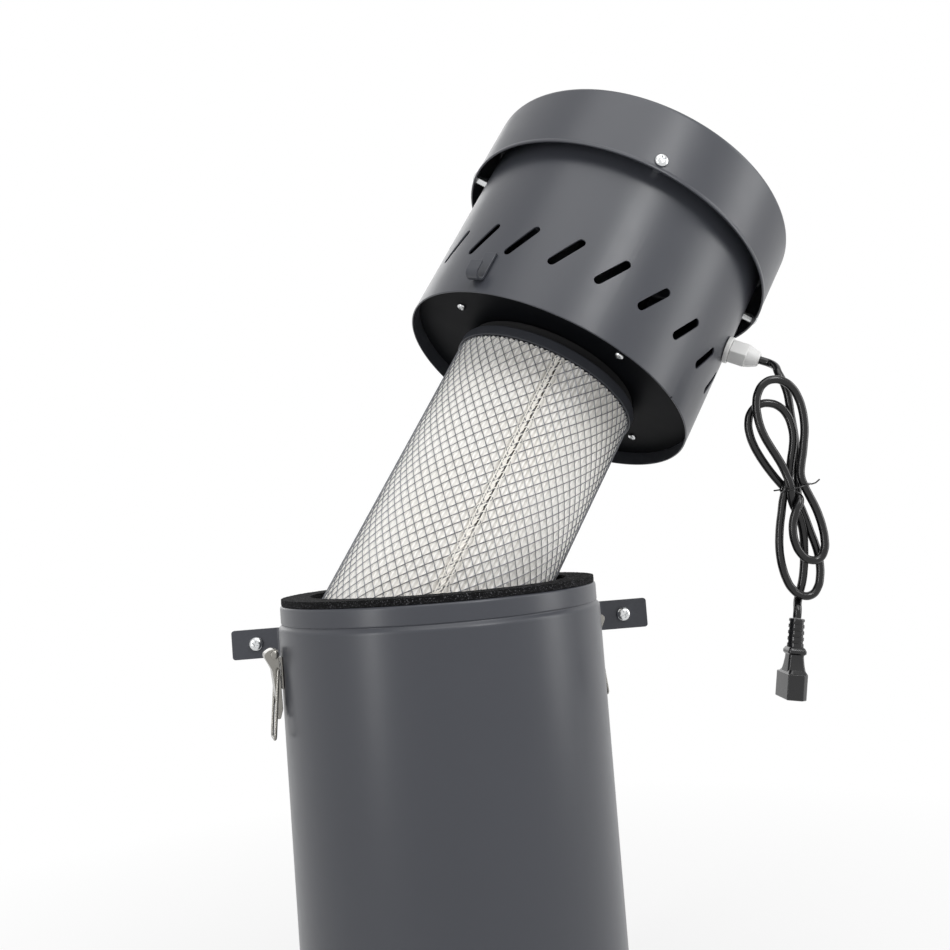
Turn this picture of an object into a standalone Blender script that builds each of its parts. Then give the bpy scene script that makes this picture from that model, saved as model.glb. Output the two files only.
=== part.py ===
"""A dust collector: a steel canister, a lift-off motor head with its cartridge filter, and a mains lead.

The head stands tilted in the canister's mouth, the way it rests while the filter is looked at.
Metres, +Z up. The origin is the centre of the canister's flat bottom, and the camera side is -Y.
"""

import math

import bmesh
import bpy
from mathutils import Matrix, Vector

# ---------------------------------------------------------------- driving dimensions
GAP = 0.0003  # between pieces that touch
SHEET = 0.0012  # steel sheet of the canister, drum and cap
ROUND_STEPS = 48
SMALL_STEPS = 12

CANISTER_HEIGHT = 0.430
CANISTER_RADIUS = 0.125
BAND_HEIGHT = 0.0137  # the drawn-in band round the mouth
BAND_STEP = 0.0020
MOUTH_RADIUS = 0.1030
FLOOR_THICKNESS = 0.0015
FLOOR_FLANGE = 0.012
GASKET_INSET = 0.0028  # the foam ring's edge, in from the canister's side
GASKET_WIDTH = 0.0228
GASKET_THICKNESS = 0.0050
INLET_RADIUS = 0.0315
INLET_REACH = 0.030
INLET_HEIGHT = 0.120
INLET_AZIMUTH = 90.0

SKIRT_CLEARANCE = 0.0020  # drum over band
DRUM_HEIGHT = 0.166
SHELF_WIDTH = 0.033
PLATE_RECESS = 0.012
PLATE_THICKNESS = 0.0015
INTAKE_RADIUS = 0.045
CAP_GAP = 0.0109  # ring of air between drum and cap
CAP_LAP = 0.0270  # how far the cap reaches down round the drum
CAP_RISE = 0.0305  # from the drum's top to the cap's
SLOT_COUNT = 21
SLOT_LENGTH = 0.033
SLOT_WIDTH = 0.0065
SLOT_HEIGHT = 0.0515  # middle of the slots above the drum's rim
SLOT_RISE = 0.029  # height that a slot spans
SLOT_FIRST = -120.9
CAP_SCREW_DROP = 0.0180  # below the drum's top
CAP_SCREW_HEAD = 0.0054
CAP_SCREW_FIRST = -123.4
PLATE_SCREW_CIRCLE = 0.098
PLATE_SCREW_HEAD = 0.0039
PLATE_SCREW_FIRST = 170.3
SCREW_RADIUS = 0.0020
GLAND_AZIMUTH = -52.0
GLAND_HEIGHT = 0.086
GLAND_ACROSS_FLATS = 0.019
GLAND_LENGTH = 0.0288

FILTER_RADIUS = 0.0785
FILTER_LENGTH = 0.2735  # of the pleated part
FILTER_RING = 0.0088
FILTER_BORE = 0.0430
SEAL_THICKNESS = 0.0079
ROD_RADIUS = 0.0040

MOTOR_RADIUS = 0.0700
MOTOR_WALL = 0.0016
YOKE_RADIUS = 0.0480
SHAFT_RADIUS = 0.0040

LATCH_AZIMUTHS = {"left": 196.0, "right": 16.0}
LATCH_PIVOT = (0.0057, -0.0340)  # out from the canister's side, up from the rim
BAIL_PIVOT = (0.0043, -0.0450)
BAIL_LENGTH = 0.0505
BAIL_WIRE = 0.0022
BAIL_GAP = 0.0005  # between the bail's leg and the lever's side
BAIL_HANG = 6.0  # degrees that the bail hangs off the vertical
LEVER_WIDTH = 0.0140
CATCH_WIDTH = 0.0110
CATCH_SHEET = 0.0020

BRACKET_SHEET = 0.0020
BRACKET_TOP = 0.028  # below the rim
BRACKET_HEIGHT = 0.0265
BRACKET_BACK = 0.1305
BOLT_X = 0.168
BOLT_RADIUS = 0.0040
BOLT_HEAD = 0.0066

# The head rests tilted: it swings about a level axis beside the canister, and turns as it rises.
TILT = 34.18
TURN = 35.7
LEAN_AZIMUTH = 23.2
SWING_CENTRE_OUT = 0.3315
SWING_CENTRE_DOWN = 0.1028  # below the rim

CORD_DIAMETER = 0.0065
CORD_PLANE = -0.018
HANK_THICKNESS = 0.018

# ---------------------------------------------------------------- sizes that follow
BAND_RADIUS = CANISTER_RADIUS - BAND_STEP
DRUM_INNER = BAND_RADIUS + SKIRT_CLEARANCE
DRUM_RADIUS = DRUM_INNER + SHEET
CAP_RADIUS = DRUM_RADIUS + CAP_GAP + SHEET
CAP_BOTTOM = DRUM_HEIGHT - CAP_LAP
CAP_TOP = DRUM_HEIGHT + CAP_RISE
CAP_SCREW_HEIGHT = DRUM_HEIGHT - CAP_SCREW_DROP
BAIL_HALF_WIDTH = (LEVER_WIDTH + BAIL_WIRE) / 2 + BAIL_GAP
SHELF_BOTTOM = PLATE_RECESS + PLATE_THICKNESS + GAP
SKIRT_DROP = PLATE_RECESS - GASKET_THICKNESS - 2 * GAP  # drum's rim below the canister's, when closed
SEAL_TOP = PLATE_RECESS - GAP
RING_TOP = SEAL_TOP - SEAL_THICKNESS - GAP
MEDIA_TOP = RING_TOP - FILTER_RING - GAP
MEDIA_BOTTOM = MEDIA_TOP - FILTER_LENGTH
FILTER_BOTTOM = MEDIA_BOTTOM - GAP - FILTER_RING


def materials() -> dict:
    """The part's finishes, by name."""
    table = {
        "painted_steel": ((0.115, 0.118, 0.127), 0.42, 0.0),
        "black_paint": ((0.012, 0.013, 0.015), 0.28, 0.0),
        "foam": ((0.016, 0.016, 0.017), 0.95, 0.0),
        "rubber": ((0.020, 0.020, 0.021), 0.80, 0.0),
        "filter_paper": ((0.780, 0.765, 0.730), 0.90, 0.0),
        "plated_steel": ((0.560, 0.560, 0.550), 0.35, 1.0),
        "nylon": ((0.600, 0.600, 0.590), 0.45, 0.0),
        "copper": ((0.550, 0.240, 0.110), 0.40, 1.0),
        "cast_metal": ((0.400, 0.410, 0.420), 0.50, 1.0),
        "black_plastic": ((0.014, 0.014, 0.015), 0.35, 0.0),
    }
    made = {}
    for name, (colour, roughness, metallic) in table.items():
        material = bpy.data.materials.new(name)
        material.use_nodes = True
        shader = material.node_tree.nodes["Principled BSDF"]
        shader.inputs["Base Color"].default_value = (*colour, 1.0)
        shader.inputs["Roughness"].default_value = roughness
        shader.inputs["Metallic"].default_value = metallic
        made[name] = material
    return made


class Shop:
    """Where the pieces are made: it holds the collections, the finishes and the frame that is in use."""

    def __init__(self) -> None:
        for obj in list(bpy.data.objects):
            bpy.data.objects.remove(obj)
        self.parts = bpy.data.collections.new("dust_collector")
        self.cutters = bpy.data.collections.new("cutters")
        for collection in (self.parts, self.cutters):
            bpy.context.scene.collection.children.link(collection)
        self.materials = materials()
        self.frame = None

    def frame_at(self, name: str, matrix: Matrix) -> None:
        """Later pieces are placed in this frame, which an empty marks."""
        empty = bpy.data.objects.new(name, None)
        self.parts.objects.link(empty)
        empty.matrix_world = matrix
        self.frame = empty

    def place(self, obj, matrix=None, finish=None):
        """Puts an object in the frame in use, as a part if it has a finish and else as a cutter."""
        (self.parts if finish else self.cutters).objects.link(obj)
        obj.parent = self.frame
        obj.matrix_local = matrix or Matrix.Identity(4)
        if finish:
            obj.data.materials.append(self.materials[finish])
        else:
            obj.hide_render = True
            obj.display_type = "WIRE"
        return obj

    def turned(self, name, profile, finish=None, matrix=None, steps=ROUND_STEPS):
        """A profile of (radius, height), down its outer side, turned about Z."""
        mesh = bpy.data.meshes.new(name)
        on_axis = profile[0][0] == 0 and profile[-1][0] == 0
        edges = [(i, i + 1) for i in range(len(profile) - 1)]
        if not on_axis:
            edges.append((len(profile) - 1, 0))
        mesh.from_pydata([(r, 0, z) for r, z in profile], edges, [])
        obj = bpy.data.objects.new(name, mesh)
        screw = obj.modifiers.new("Turn", "SCREW")
        screw.steps = screw.render_steps = steps
        screw.use_merge_vertices = True
        screw.merge_threshold = 0.00001
        return self.place(obj, matrix, finish)

    def ring(self, name, inner, outer, bottom, top, finish=None, matrix=None, steps=ROUND_STEPS):
        """A plain ring or, with no inner radius, a disc."""
        return self.turned(
            name, [(inner, top), (outer, top), (outer, bottom), (inner, bottom)], finish, matrix, steps
        )

    def box(self, name, size, centre, finish=None, matrix=None, bevel=0.0):
        """A block of a size, about a centre."""
        mesh = bpy.data.meshes.new(name)
        shape = bmesh.new()
        bmesh.ops.create_cube(shape, size=1.0, matrix=Matrix.Diagonal((*size, 1.0)))
        bmesh.ops.translate(shape, vec=centre, verts=shape.verts)
        if bevel:
            bmesh.ops.bevel(
                shape, geom=shape.edges[:], offset=bevel, segments=2, profile=0.5, affect="EDGES", material=-1
            )
        shape.to_mesh(mesh)
        shape.free()
        return self.place(bpy.data.objects.new(name, mesh), matrix, finish)

    def copies(self, name, source, matrices):
        """A cutter of many copies of a mesh object's shape, each at its own matrix. The source is removed."""
        mesh = bpy.data.meshes.new(name)
        shape = bmesh.new()
        for matrix in matrices:
            piece = source.data.copy()
            piece.transform(matrix)
            shape.from_mesh(piece)
            bpy.data.meshes.remove(piece)
        shape.to_mesh(mesh)
        shape.free()
        bpy.data.objects.remove(source)
        return self.place(bpy.data.objects.new(name, mesh))

    def prism(self, name, outline, thickness, finish=None, matrix=None):
        """A flat outline in X and Y with a thickness along Z, made a mesh."""
        curve = bpy.data.curves.new(name, "CURVE")
        curve.dimensions = "2D"
        curve.fill_mode = "BOTH"
        curve.extrude = thickness / 2
        spline = curve.splines.new("POLY")
        spline.points.add(len(outline) - 1)
        for point, (x, y) in zip(spline.points, outline):
            point.co = (x, y, 0, 1)
        spline.use_cyclic_u = True
        return self.made_mesh(name, curve, finish, matrix)

    def wire(self, name, points, radius, finish=None, matrix=None, sides=3):
        """A round rod through points, made a mesh."""
        curve = bpy.data.curves.new(name, "CURVE")
        curve.dimensions = "3D"
        curve.bevel_depth = radius
        curve.bevel_resolution = sides
        curve.use_fill_caps = True
        spline = curve.splines.new("POLY")
        spline.points.add(len(points) - 1)
        for point, place in zip(spline.points, points):
            point.co = (*place, 1)
        return self.made_mesh(name, curve, finish, matrix)

    def made_mesh(self, name, curve, finish, matrix):
        """The mesh of a curve, with its caps welded on."""
        guide = bpy.data.objects.new(name + "_curve", curve)
        bpy.context.scene.collection.objects.link(guide)
        graph = bpy.context.evaluated_depsgraph_get()
        mesh = bpy.data.meshes.new_from_object(guide.evaluated_get(graph))
        mesh.name = name
        bpy.data.objects.remove(guide)
        shape = bmesh.new()
        shape.from_mesh(mesh)
        bmesh.ops.remove_doubles(shape, verts=shape.verts, dist=0.000005)
        bmesh.ops.recalc_face_normals(shape, faces=shape.faces)
        shape.to_mesh(mesh)
        shape.free()
        return self.place(bpy.data.objects.new(name, mesh), matrix, finish)


def boolean(obj, other, operation: str) -> None:
    """Cuts another object from this one, or joins it."""
    modifier = obj.modifiers.new(operation.title(), "BOOLEAN")
    modifier.operation = operation
    modifier.object = other


def about_z(degrees: float) -> Matrix:
    """A turn about Z."""
    return Matrix.Rotation(math.radians(degrees), 4, "Z")


def radial(degrees: float, radius: float, height: float) -> Matrix:
    """A frame at a place round Z, whose own Z points outwards."""
    return about_z(degrees) @ Matrix.Translation((radius, 0, height)) @ Matrix.Rotation(math.pi / 2, 4, "Y")


def side_on(degrees: float, radius: float = 0.0, height: float = 0.0) -> Matrix:
    """A frame whose X points outwards and Y up, for outlines that are seen from the side."""
    return about_z(degrees) @ Matrix.Translation((radius, 0, height)) @ Matrix.Rotation(math.pi / 2, 4, "X")


def strip(points, thickness: float) -> list:
    """The outline of a bent strip, from the points along its middle."""
    points = [Vector(p) for p in points]
    sides = [[], []]
    for i, point in enumerate(points):
        before = (point - points[i - 1]).normalized() if i else None
        after = (points[i + 1] - point).normalized() if i + 1 < len(points) else None
        along = ((before or after) + (after or before)).normalized()
        normal = Vector((-along.y, along.x))
        turn = Vector((-(before or after).y, (before or after).x)).dot(normal)
        for side, sign in zip(sides, (1, -1)):
            side.append(point + sign * normal * (thickness / 2 / turn))
    return [tuple(p) for p in sides[0] + sides[1][::-1]]


def arc(centre, radius, start, end, count) -> list:
    """Points round part of a circle, angles in degrees."""
    angles = [math.radians(start + (end - start) * i / (count - 1)) for i in range(count)]
    return [(centre[0] + radius * math.cos(a), centre[1] + radius * math.sin(a)) for a in angles]


# ---------------------------------------------------------------- canister
def canister(shop: Shop) -> None:
    """The shell with its drawn-in band, the welded floor, the inlet and the foam ring."""
    top, band = CANISTER_HEIGHT, CANISTER_HEIGHT - BAND_HEIGHT
    shell = shop.turned(
        "canister_shell",
        [
            (MOUTH_RADIUS, top),
            (BAND_RADIUS - 0.0012, top),
            (BAND_RADIUS, top - 0.0012),
            (BAND_RADIUS, band),
            (CANISTER_RADIUS, band - 0.0022),
            (CANISTER_RADIUS, 0),
            (CANISTER_RADIUS - SHEET, 0),
            (CANISTER_RADIUS - SHEET, band - 0.0028),
            (BAND_RADIUS - SHEET, band - 0.0006),
            (BAND_RADIUS - SHEET, top - SHEET),
            (MOUTH_RADIUS, top - SHEET),
        ],
        "painted_steel",
    )
    hole = shop.ring(
        "inlet_cutter", 0, INLET_RADIUS + GAP, -0.02, 0.02, None,
        radial(INLET_AZIMUTH, CANISTER_RADIUS, INLET_HEIGHT), 32,
    )
    boolean(shell, hole, "DIFFERENCE")
    floor_radius = CANISTER_RADIUS - SHEET - GAP
    shop.turned(
        "canister_floor",
        [
            (0, FLOOR_THICKNESS),
            (floor_radius - SHEET, FLOOR_THICKNESS),
            (floor_radius - SHEET, FLOOR_FLANGE),
            (floor_radius, FLOOR_FLANGE),
            (floor_radius, 0),
            (0, 0),
        ],
        "painted_steel",
    )
    shop.ring(
        "inlet_spigot", INLET_RADIUS - SHEET, INLET_RADIUS, -0.012, INLET_REACH, "painted_steel",
        radial(INLET_AZIMUTH, CANISTER_RADIUS, INLET_HEIGHT), 32,
    )
    outer = CANISTER_RADIUS - GASKET_INSET
    shop.ring("rim_gasket", outer - GASKET_WIDTH, outer, top + GAP, top + GAP + GASKET_THICKNESS, "foam")


def brackets(shop: Shop) -> None:
    """Two bent lugs that bolt the canister to what stands behind it."""
    middle = CANISTER_HEIGHT - BRACKET_TOP - BRACKET_HEIGHT / 2
    back = BRACKET_BACK - BRACKET_SHEET / 2
    weld = (CANISTER_RADIUS + GAP + 0.0006) * Vector((math.cos(math.radians(29.1)), math.sin(math.radians(29.1))))
    for name, side in (("left", -1), ("right", 1)):
        path = [(side * (BOLT_X + 0.022), back), (side * (BOLT_X - 0.022), back), (side * weld.x, weld.y)]
        lug = shop.prism(
            name + "_bracket", strip(path, BRACKET_SHEET), BRACKET_HEIGHT, "painted_steel",
            Matrix.Translation((0, 0, middle)),
        )
        bolt_frame = Matrix.Translation((side * BOLT_X, back, middle)) @ Matrix.Rotation(math.pi / 2, 4, "X")
        hole = shop.ring(name + "_bolt_cutter", 0, BOLT_RADIUS + GAP, -0.01, 0.01, None, bolt_frame, SMALL_STEPS)
        boolean(lug, hole, "DIFFERENCE")
        face = BRACKET_SHEET / 2 + GAP
        shop.turned(
            name + "_bracket_bolt",
            [
                (0, face + 0.0040),
                (0.55 * BOLT_HEAD, face + 0.0037),
                (0.94 * BOLT_HEAD, face + 0.0021),
                (BOLT_HEAD, face),
                (BOLT_RADIUS, face),
                (BOLT_RADIUS, -0.012),
                (0, -0.012),
            ],
            "plated_steel", bolt_frame, SMALL_STEPS,
        )


# ---------------------------------------------------------------- latches
def latch(shop: Shop, name: str, azimuth: float) -> None:
    """A toggle latch: a base with its pin, a channel lever and a wire bail."""
    place = side_on(azimuth, CANISTER_RADIUS, CANISTER_HEIGHT)
    pivot, hang = Vector(LATCH_PIVOT), Vector(BAIL_PIVOT)
    ear, inner = LEVER_WIDTH / 2 - 0.0014, LEVER_WIDTH / 2 - 0.0025

    base = shop.prism(
        name + "_latch_base",
        [(GAP, -0.060), (0.0018, -0.060), (0.0018, -0.0400)]
        + arc(pivot, 0.0030, -90, 120, 8)
        + [(0.0018, -0.0365), (GAP, -0.0365)],
        2 * ear, "plated_steel", place,
    )
    gap_between = shop.box(
        name + "_ear_cutter", (0.02, 0.03, 2 * inner), (0.0015 + 0.01, -0.035, 0), None, place
    )
    boolean(base, gap_between, "DIFFERENCE")
    pin = shop.ring(
        name + "_pin", 0, 0.0016, -(LEVER_WIDTH / 2 + 0.0002), LEVER_WIDTH / 2 + 0.0002, None,
        place @ Matrix.Translation((*pivot, 0)), SMALL_STEPS,
    )
    boolean(base, pin, "UNION")

    web = [
        pivot + Vector(p)
        for p in (
            (-0.0025, 0.0032), (0.0016, 0.0044), (0.0046, 0.0034), (0.0074, 0.0014), (0.0076, -0.0012),
            (0.0048, -0.0065), (0.0028, -0.0110), (0.0026, -0.0200), (0.0014, -0.0410), (0.0024, -0.0470),
        )
    ]
    wall_side = [pivot + Vector(p) for p in ((0.0000, -0.0470), (-0.0024, -0.0400), (-0.0029, -0.0120))]
    lever = shop.prism(
        name + "_latch_lever", [tuple(p) for p in web + wall_side], LEVER_WIDTH, "plated_steel", place
    )
    inset = [tuple(p + Vector((-0.0009, -0.0009))) for p in web[1:-1]]
    above, below = pivot.y + 0.010, pivot.y - 0.056
    hollow = shop.prism(
        name + "_lever_cutter",
        [(inset[0][0] - 0.0001, above)] + inset + [(inset[-1][0] - 0.0004, below), (-0.02, below), (-0.02, above)],
        LEVER_WIDTH - 0.0020, None, place,
    )
    boolean(lever, hollow, "DIFFERENCE")
    for label, centre, radius in (("pivot", pivot, 0.0016), ("bail", hang, BAIL_WIRE / 2)):
        hole = shop.ring(
            f"{name}_{label}_hole", 0, radius + GAP, -0.02, 0.02, None,
            place @ Matrix.Translation((*centre, 0)), SMALL_STEPS,
        )
        boolean(lever, hole, "DIFFERENCE")

    down = Vector((math.sin(math.radians(BAIL_HANG)), -math.cos(math.radians(BAIL_HANG))))
    corner = 0.0035
    half = BAIL_HALF_WIDTH
    side = [(0.0, half - 0.0027), (0.0, half - 0.0006), (0.0012, half)]
    bend = [
        (BAIL_LENGTH - corner + corner * math.sin(a), half - corner + corner * math.cos(a))
        for a in (0, math.pi / 6, math.pi / 3, math.pi / 2)
    ]
    flat = side + bend
    flat += [(along, -across) for along, across in reversed(flat)]
    points = [(*(hang + along * down), across) for along, across in flat]
    shop.wire(name + "_bail", points, BAIL_WIRE / 2, "plated_steel", place, 2)


# ---------------------------------------------------------------- head
def head_frame() -> Matrix:
    """The head's place while it rests tilted: its own Z is its axis, and its rim is at the origin."""
    tilt, lean = math.radians(TILT), math.radians(LEAN_AZIMUTH)
    from_centre = Vector((-SWING_CENTRE_OUT, SWING_CENTRE_DOWN - SKIRT_DROP))
    out = SWING_CENTRE_OUT + from_centre.x * math.cos(tilt) + from_centre.y * math.sin(tilt)
    up = -SWING_CENTRE_DOWN - from_centre.x * math.sin(tilt) + from_centre.y * math.cos(tilt)
    rim = Vector((out * math.cos(lean), out * math.sin(lean), CANISTER_HEIGHT + up))
    axis = Vector((-math.sin(lean), math.cos(lean), 0))
    return Matrix.Translation(rim) @ Matrix.Rotation(tilt, 4, axis) @ about_z(TURN)


def around(first: float, count: int) -> list:
    """Angles evenly spaced round a circle."""
    return [first + 360 * i / count for i in range(count)]


def drum(shop: Shop) -> None:
    """The slotted drum with its inner shelf, the plate under it and the closed cap over it."""
    body = shop.turned(
        "head_drum",
        [
            (DRUM_INNER, DRUM_HEIGHT),
            (DRUM_RADIUS, DRUM_HEIGHT),
            (DRUM_RADIUS, 0),
            (DRUM_INNER, 0),
            (DRUM_INNER, SHELF_BOTTOM),
            (DRUM_INNER - SHELF_WIDTH, SHELF_BOTTOM),
            (DRUM_INNER - SHELF_WIDTH, SHELF_BOTTOM + PLATE_THICKNESS),
            (DRUM_INNER, SHELF_BOTTOM + PLATE_THICKNESS),
        ],
        "painted_steel",
    )
    run = (SLOT_LENGTH - SLOT_WIDTH) / 2
    outline = arc((run, 0), SLOT_WIDTH / 2, -90, 90, 6) + arc((-run, 0), SLOT_WIDTH / 2, 90, 270, 6)
    slot = shop.prism("slot", outline, 0.016)
    lean = math.asin((SLOT_RISE - SLOT_WIDTH) / (SLOT_LENGTH - SLOT_WIDTH))
    # in a radial frame X points down and Y runs round the drum
    turn = Matrix.Rotation(math.pi / 2 + lean, 4, "Z")
    slots = shop.copies(
        "slot_cutter", slot,
        [radial(angle, DRUM_RADIUS, SLOT_HEIGHT) @ turn for angle in around(SLOT_FIRST, SLOT_COUNT)],
    )
    boolean(body, slots, "DIFFERENCE")
    gland_hole = shop.ring(
        "gland_cutter", 0, 0.0078 + GAP, -0.01, 0.01, None, radial(GLAND_AZIMUTH, DRUM_RADIUS, GLAND_HEIGHT), 20
    )
    boolean(body, gland_hole, "DIFFERENCE")

    cap = shop.turned(
        "top_cap",
        [
            (0, CAP_TOP),
            (CAP_RADIUS - 0.004, CAP_TOP),
            (CAP_RADIUS - 0.0012, CAP_TOP - 0.0012),
            (CAP_RADIUS, CAP_TOP - 0.004),
            (CAP_RADIUS, CAP_BOTTOM),
            (CAP_RADIUS - SHEET, CAP_BOTTOM),
            (CAP_RADIUS - SHEET, CAP_TOP - 0.0045),
            (CAP_RADIUS - 0.0045, CAP_TOP - SHEET),
            (0, CAP_TOP - SHEET),
        ],
        "painted_steel",
    )
    plate_outer, plate_top = DRUM_INNER - GAP, PLATE_RECESS + PLATE_THICKNESS
    plate = shop.ring("base_plate", INTAKE_RADIUS, plate_outer, PLATE_RECESS, plate_top, "black_paint")

    for i, angle in enumerate(around(CAP_SCREW_FIRST, 4), 1):
        at_wall = radial(angle, DRUM_RADIUS, CAP_SCREW_HEIGHT)
        hole = shop.ring(f"cap_hole_{i}", 0, SCREW_RADIUS + GAP, -0.005, 0.02, None, at_wall, 12)
        boolean(body, hole, "DIFFERENCE")
        boolean(cap, hole, "DIFFERENCE")
        shop.ring(
            f"cap_spacer_{i}", SCREW_RADIUS + GAP, 0.0045, GAP, CAP_GAP - 2 * GAP, "plated_steel", at_wall, SMALL_STEPS
        )
        outside = CAP_GAP + SHEET + GAP
        screw(shop, f"cap_screw_{i}", at_wall, outside, -0.004, CAP_SCREW_HEAD)
    for i, angle in enumerate(around(PLATE_SCREW_FIRST, 4), 1):
        under = about_z(angle) @ Matrix.Translation((PLATE_SCREW_CIRCLE, 0, PLATE_RECESS))
        under = under @ Matrix.Rotation(math.pi, 4, "X")
        hole = shop.ring(f"plate_hole_{i}", 0, SCREW_RADIUS + GAP, -0.01, 0.01, None, under, 12)
        boolean(plate, hole, "DIFFERENCE")
        boolean(body, hole, "DIFFERENCE")
        screw(shop, f"plate_screw_{i}", under, GAP, -0.008, PLATE_SCREW_HEAD)


def screw(shop: Shop, name: str, matrix: Matrix, seat: float, tip: float, head: float) -> None:
    """A pan-head screw, its head over the seat and its tip below."""
    shop.turned(
        name,
        [
            (0, seat + 0.0026),
            (0.67 * head, seat + 0.0023),
            (0.97 * head, seat + 0.0008),
            (head, seat),
            (SCREW_RADIUS, seat),
            (SCREW_RADIUS, tip),
            (0, tip),
        ],
        "plated_steel", matrix, 12,
    )


def catches(shop: Shop) -> None:
    """The bent hooks that the latch bails pull on. They stand over the latches when the head is closed."""
    for name, azimuth in (("front_catch", LATCH_AZIMUTHS["left"]), ("rear_catch", LATCH_AZIMUTHS["right"])):
        inner = GAP + CATCH_SHEET / 2
        path = [
            (inner, 0.0360), (inner, 0.0240), (inner + 0.0012, 0.0150), (inner + 0.0030, 0.0102),
            (inner + 0.0062, 0.0085), (inner + 0.0094, 0.0102), (inner + 0.0108, 0.0165), (inner + 0.0111, 0.0250),
        ]
        shop.prism(name, strip(path, CATCH_SHEET), CATCH_WIDTH, "painted_steel", side_on(azimuth, DRUM_RADIUS))


def gland(shop: Shop) -> None:
    """The cable gland: a body through the drum's wall and a six-sided dome nut."""
    place = radial(GLAND_AZIMUTH, DRUM_RADIUS, GLAND_HEIGHT)
    bore = CORD_DIAMETER / 2 + GAP
    wall = -SHEET - 3 * GAP  # the nut inside is flat, and the drum's wall curves towards it
    shop.turned(
        "gland_body",
        [
            (bore, 0.0120), (0.0070, 0.0120), (0.0070, 0.0040), (0.0110, 0.0032), (0.0110, 2 * GAP),
            (0.0078, 2 * GAP), (0.0078, wall), (0.0115, wall), (0.0115, wall - 0.0035), (bore, wall - 0.0035),
        ],
        "nylon", place, 24,
    )
    corner = GLAND_ACROSS_FLATS / math.sqrt(3)
    nut = shop.ring("gland_nut", 0, corner, 0.0043, 0.0185, "nylon", place, 6)
    dome = shop.turned(
        "dome_piece",
        [(0, GLAND_LENGTH), (0.0052, GLAND_LENGTH), (0.0062, GLAND_LENGTH - 0.0012), (0.0092, 0.0185),
         (0.0092, 0.0150), (0, 0.0150)],
        None, place, 24,
    )
    boolean(nut, dome, "UNION")
    bore_cutter = shop.turned(
        "gland_bore_cutter",
        [(0, 0.04), (bore, 0.04), (bore, 0.0123), (0.0073, 0.0123), (0.0073, -0.01), (0, -0.01)],
        None, place, 24,
    )
    boolean(nut, bore_cutter, "DIFFERENCE")


def motor(shop: Shop) -> None:
    """The suction motor that stands on the plate inside the drum, still parts first and then its rotor."""
    base = PLATE_RECESS + PLATE_THICKNESS + GAP
    seat = base + 0.0040 + GAP
    lid = seat + 0.0501
    shop.ring("motor_gasket", 0.055, MOTOR_RADIUS - 0.002, base, base + 0.0040, "rubber")
    shop.turned(
        "motor_housing",
        [
            (0.0145, lid + 0.0083), (0.0145, lid + MOTOR_WALL), (MOTOR_RADIUS, lid + MOTOR_WALL),
            (MOTOR_RADIUS, seat), (0.0220, seat), (0.0220, seat + MOTOR_WALL),
            (MOTOR_RADIUS - MOTOR_WALL, seat + MOTOR_WALL), (MOTOR_RADIUS - MOTOR_WALL, lid), (0.0070, lid),
            (0.0070, lid + MOTOR_WALL), (0.0113, lid + MOTOR_WALL), (0.0113, lid + 0.0083),
        ],
        "cast_metal", None, 48,
    )
    bore = SHAFT_RADIUS + GAP
    frame_foot = lid + MOTOR_WALL + GAP
    frame_top = frame_foot + 0.0779
    shop.ring("lower_bearing", bore, 0.0110, frame_foot, lid + 0.0083, "plated_steel", None, 24)
    inner = YOKE_RADIUS - MOTOR_WALL
    shop.turned(
        "motor_frame",
        [
            (0.0110, frame_top + 0.0070), (0.0110, frame_top + MOTOR_WALL), (YOKE_RADIUS, frame_top + MOTOR_WALL),
            (YOKE_RADIUS, frame_foot), (inner, frame_foot), (inner, frame_top), (0.0060, frame_top),
            (0.0060, frame_top + MOTOR_WALL), (0.0083, frame_top + MOTOR_WALL), (0.0083, frame_top + 0.0070),
        ],
        "cast_metal", None, 40,
    )
    shop.ring(
        "upper_bearing", bore, 0.0080, frame_top + MOTOR_WALL + GAP, frame_top + 0.0070, "plated_steel", None, 24
    )
    shop.ring("stator", 0.0300, inner - GAP, frame_foot + 0.016, frame_foot + 0.056, "cast_metal", None, 40)
    brush = frame_foot + 0.0665
    for name, side in (("left_brush", -1), ("right_brush", 1)):
        start, end = 0.0120 + GAP, inner - GAP - 0.0002
        shop.box(name, (end - start, 0.006, 0.009), (side * (start + end) / 2, 0, brush), "black_plastic")

    shop.ring("motor_shaft", 0, SHAFT_RADIUS, seat + 0.011, frame_top + 0.0160, "plated_steel", None, 20)
    disc = lid - 0.0100
    impeller = shop.turned(
        "impeller",
        [(0.0600, disc), (0.0600, disc - 0.0015), (0.0100, disc - 0.0015), (0.0100, seat + 0.012),
         (bore, seat + 0.012), (bore, disc)],
        "cast_metal", None, 40,
    )
    blade = shop.box("blade", (0.0500, 0.0012, 0.0220), (0.0335, 0, disc - 0.0120))
    blades = shop.copies("blade_pieces", blade, [about_z(angle) for angle in around(0, 8)])
    boolean(impeller, blades, "UNION")
    shop.turned(
        "armature",
        [
            (0.0120, brush + 0.0070), (0.0120, frame_foot + 0.056), (0.0290, frame_foot + 0.056),
            (0.0290, frame_foot + 0.016), (bore, frame_foot + 0.016), (bore, brush + 0.0070),
        ],
        "copper", None, 32,
    )
    fan = frame_top + 0.0080
    shop.turned(
        "cooling_fan",
        [
            (0.0090, fan + 0.0070), (0.0090, fan + 0.0045), (0.0400, fan + 0.0045), (0.0400, fan + 0.0030),
            (0.0090, fan + 0.0030), (0.0090, fan), (bore, fan), (bore, fan + 0.0070),
        ],
        "black_plastic", None, 32,
    )


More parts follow.
